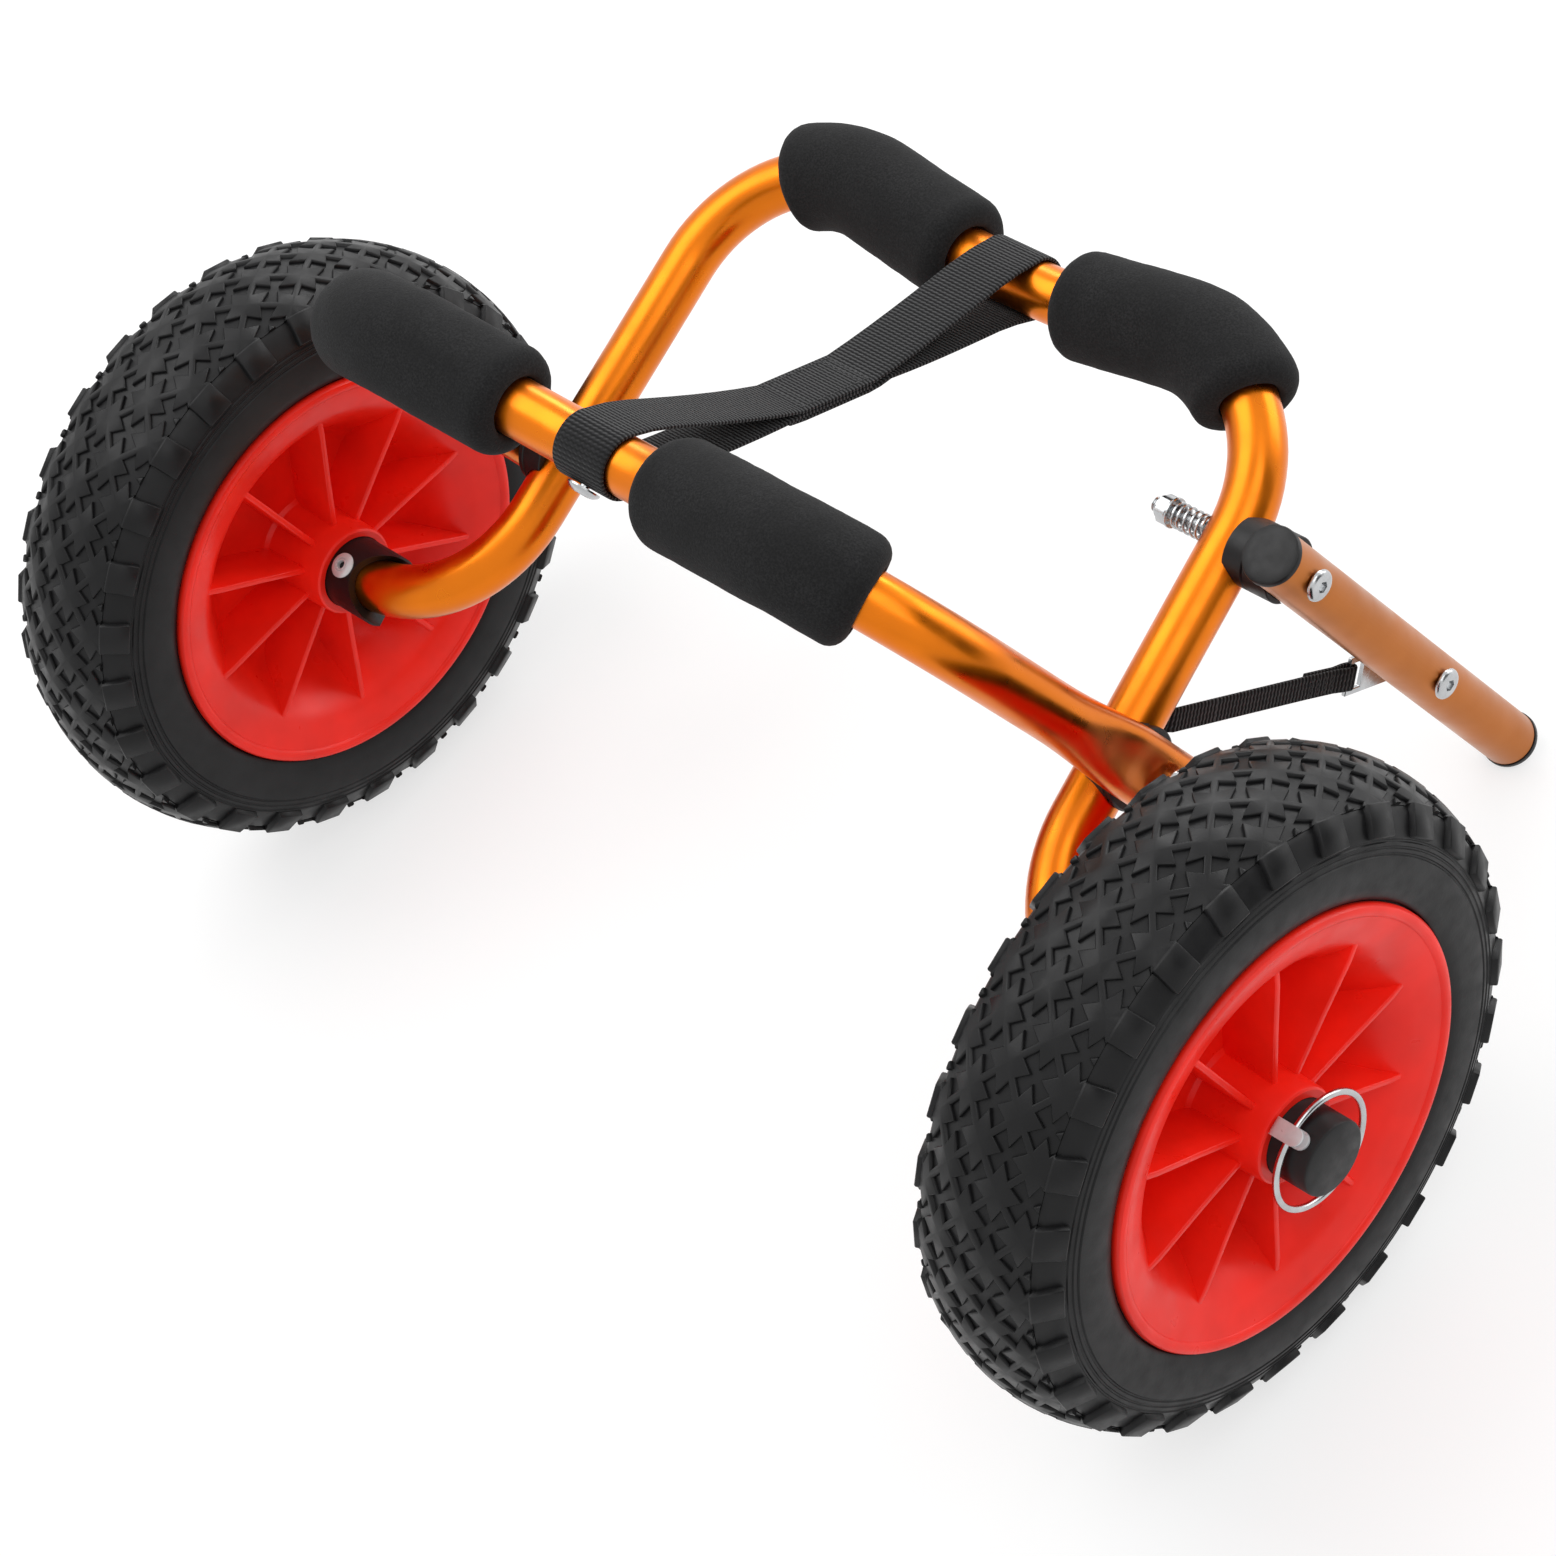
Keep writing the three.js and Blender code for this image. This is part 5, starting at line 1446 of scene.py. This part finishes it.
class CART_OT_straps(bpy.types.Operator):
    """Make the webbing straps with their stitching and rivets"""

    bl_idname = "cart.straps"
    bl_label = "Straps"

    def execute(self, context):
        for name, shape, slot, nodes in (
            ("frame_webbing", frame_strap(), "webbing", ["frame_strap"]),
            ("frame_webbing_seam", frame_strap_stitches(), "thread", []),
        ):
            strap = finished(name, shape, slot, nodes=nodes, sharp=50)
            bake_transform(strap)
        under = shift(STRAP_NEAR_X, -CRADLE_REACH, 70.5)
        rivet = moved(pop_rivet(6.5, 2.7, 1.9, 4.6), turn(90, "Y"), under)
        finished("strap_pop_rivet", rivet, "steel", "cradle_frame", ["strap_rivet"])
        centres = limit_route()
        long = limit_ribbon(centres[: 1 - LOW_STATIONS])
        for name, shape, slot, nodes in (
            ("limit_webbing", long, "webbing", ["limit_strap"]),
            ("limit_webbing_seam", limit_stitches(), "thread", []),
        ):
            strap = finished(name, shape, slot, nodes=nodes, sharp=50)
            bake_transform(strap)
        low = limit_ribbon(centres[-LOW_STATIONS:])
        strap = finished("limit_webbing_low", low, "webbing", nodes=["limit_strap"], sharp=50)
        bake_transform(strap)
        foot, nodes = limit_foot(), ["limit_strap"]
        finished("limit_webbing_foot", foot, "webbing", "axle_frame", nodes, sharp=50)
        rivet = moved(pop_rivet(3.6, 1.5, 1.9, 3), turn(90, "Z"), shift(143.5, 12.9, 103))
        finished("limit_pop_rivet", rivet, "steel", "axle_frame", ["limit_strap_rivet"])
        return {"FINISHED"}


# Stage --------------------------------------------------------------------------------------------


def coloured_node(tree, kind, *colour):
    """A shader node of one plain colour"""
    made = tree.nodes.new(kind)
    made.inputs["Color"].default_value = [*colour, 1]
    return made


def shown_apart(tree, output, lighting, shown):
    """Ends a node tree: one shader for the light that it gives, and another for what the camera,
    reflections and clear pieces see of it"""
    paths = tree.nodes.new("ShaderNodeLightPath")
    seen = paths.outputs["Is Camera Ray"]
    for ray in ("Is Glossy Ray", "Is Transmission Ray"):
        either = tree.nodes.new("ShaderNodeMath")
        either.operation = "MAXIMUM"
        tree.links.new(seen, either.inputs[0])
        tree.links.new(paths.outputs[ray], either.inputs[1])
        seen = either.outputs[0]
    chosen = tree.nodes.new("ShaderNodeMixShader")
    tree.links.new(seen, chosen.inputs[0])
    tree.links.new(lighting.outputs[0], chosen.inputs[1])
    tree.links.new(shown.outputs[0], chosen.inputs[2])
    tree.links.new(chosen.outputs[0], tree.nodes.new(output).inputs["Surface"])


def floor_finish(colour):
    """A pale floor: white to the camera and in reflections, and it keeps the cart's shadow"""
    material = bpy.data.materials.new("studio_floor")
    material.use_nodes = True
    tree = material.node_tree
    tree.nodes.clear()
    matte = coloured_node(tree, "ShaderNodeBsdfDiffuse", 0.36, 0.36, 0.36)
    glow = coloured_node(tree, "ShaderNodeEmission", 0.66, 0.66, 0.66)
    lit = tree.nodes.new("ShaderNodeAddShader")
    tree.links.new(matte.outputs[0], lit.inputs[0])
    tree.links.new(glow.outputs[0], lit.inputs[1])
    plain = coloured_node(tree, "ShaderNodeBsdfDiffuse", *colour)
    shown_apart(tree, "ShaderNodeOutputMaterial", plain, lit)
    return material


def studio_world():
    """White to the camera and in reflections, a plain level for the light it gives"""
    world = bpy.data.worlds.new("studio")
    world.use_nodes = True
    tree = world.node_tree
    tree.nodes.clear()
    fill, white = (coloured_node(tree, "ShaderNodeBackground", 1, 1, 1) for _ in range(2))
    fill.inputs["Strength"].default_value = 0.6
    shown_apart(tree, "ShaderNodeOutputWorld", fill, white)
    bpy.context.scene.world = world


def flat_stage(name, material, width, height, *matrices):
    """A flat rectangle that belongs to the stage"""
    bm = bmesh.new()
    bmesh.ops.create_grid(bm, x_segments=1, y_segments=1, size=0.5)
    moved(bm, Matrix.Diagonal((width, height, 1, 1)), *matrices)
    mesh = meshed(name, bm)
    mesh.materials.append(material)
    made = in_scene(name, mesh)
    return made


def facing(place, aim):
    """The turn that faces a lamp or a card to a place"""
    return (Vector(aim) - Vector(place)).to_track_quat("-Z", "Y")


def dark_card(place, aim, width, height):
    """A black card beside the cart that only its glossy pieces see, for dark bands on the tubes"""
    material = bpy.data.materials.new("black_card")
    material.use_nodes = True
    shader = material.node_tree.nodes["Principled BSDF"]
    shader.inputs["Base Color"].default_value = [0.12, 0.12, 0.12, 1]
    shader.inputs["Roughness"].default_value = 1.0
    faced = facing(place, aim).to_matrix().to_4x4()
    card = flat_stage("black_card", material, width, height, faced, Matrix.Translation(place))
    card.visible_camera = False
    card.visible_diffuse = False
    card.visible_shadow = False
    card.visible_transmission = False


def soft_lamp(name, place, aim, width, height, power, gloss=1.0):
    """A rectangular soft lamp that faces a point; gloss is its share in reflections"""
    lamp = bpy.data.lights.new(name, "AREA")
    lamp.shape = "RECTANGLE"
    lamp.size = width
    lamp.size_y = height
    lamp.energy = power
    lamp.specular_factor = gloss
    made = in_scene(name, lamp)
    made.location = place
    made.rotation_euler = facing(place, aim).to_euler()


class CART_OT_stage(bpy.types.Operator):
    """Make the pale floor, the soft lamps and the camera"""

    bl_idname = "cart.stage"
    bl_label = "Stage"

    def execute(self, context):
        scene = context.scene
        scene.view_settings.view_transform = "Standard"
        flat_stage("studio_floor", floor_finish(scene.cart_colours.floor), 24, 24)
        studio_world()

        side = LOOK.cross(UPRIGHT).normalized()
        middle = Vector((0, 0, 0.16))

        def beside(right, up, back):
            return middle + side * right + UPRIGHT * up - LOOK * back

        soft_lamp("lamp_key", beside(-1.5, 1.5, 0.9), middle, 1.8, 1.8, 26)
        soft_lamp("lamp_front", beside(0.5, 0.6, 2.1), middle, 1.4, 1.4, 10, gloss=0.4)
        soft_lamp("lamp_fill", beside(1.5, 1.2, 0.2), middle, 0.9, 1.2, 8, gloss=0.3)
        soft_lamp("lamp_back", beside(0.4, 1.9, -0.2), middle, 1.8, 0.5, 15)
        dark_card(beside(1.6, -0.1, 1.0), middle, 1.2, 3.0)

        camera = bpy.data.cameras.new("camera")
        camera.sensor_fit = "HORIZONTAL"
        camera.sensor_width = 36
        camera.lens = LENS
        camera.clip_start = 0.05
        camera.clip_end = 60
        scene.camera = in_scene("camera", camera)
        scene.camera.matrix_world = axes(side, UPRIGHT, -LOOK, EYE)
        return {"FINISHED"}


class CART_PT_panel(bpy.types.Panel):
    """Lists the cart's pieces, sizes and colours"""

    bl_idname = "CART_PT_panel"
    bl_label = "Kayak Cart"
    bl_space_type = "VIEW_3D"
    bl_region_type = "UI"
    bl_category = "Kayak Cart"

    def draw(self, context):
        layout = self.layout
        for group in (context.scene.cart_sizes, context.scene.cart_colours):
            box = layout.box()
            for name in type(group).__annotations__:
                box.prop(group, name)
        for operator in PIECES:
            layout.operator(operator.bl_idname)


PIECES = (
    CART_OT_stage,
    CART_OT_frames,
    CART_OT_pads,
    CART_OT_sleeves,
    CART_OT_wheels,
    CART_OT_pivots,
    CART_OT_kickstand,
    CART_OT_straps,
)
CLASSES = (CartSizes, CartColours, *PIECES, CART_PT_panel)


def register():
    for each in CLASSES:
        bpy.utils.register_class(each)
    bpy.types.Scene.cart_sizes = PointerProperty(type=CartSizes)
    bpy.types.Scene.cart_colours = PointerProperty(type=CartColours)


def unregister():
    del bpy.types.Scene.cart_colours
    del bpy.types.Scene.cart_sizes
    for each in reversed(CLASSES):
        bpy.utils.unregister_class(each)


def main():
    """Makes the whole scene, piece by piece"""
    register()
    mix_finishes()
    bpy.ops.cart.stage()
    bpy.ops.cart.frames()
    bpy.ops.cart.pads()
    bpy.ops.cart.sleeves()
    bpy.ops.cart.wheels()
    bpy.ops.cart.pivots()
    bpy.ops.cart.kickstand()
    bpy.ops.cart.straps()


if __name__ == "__main__":
    main()
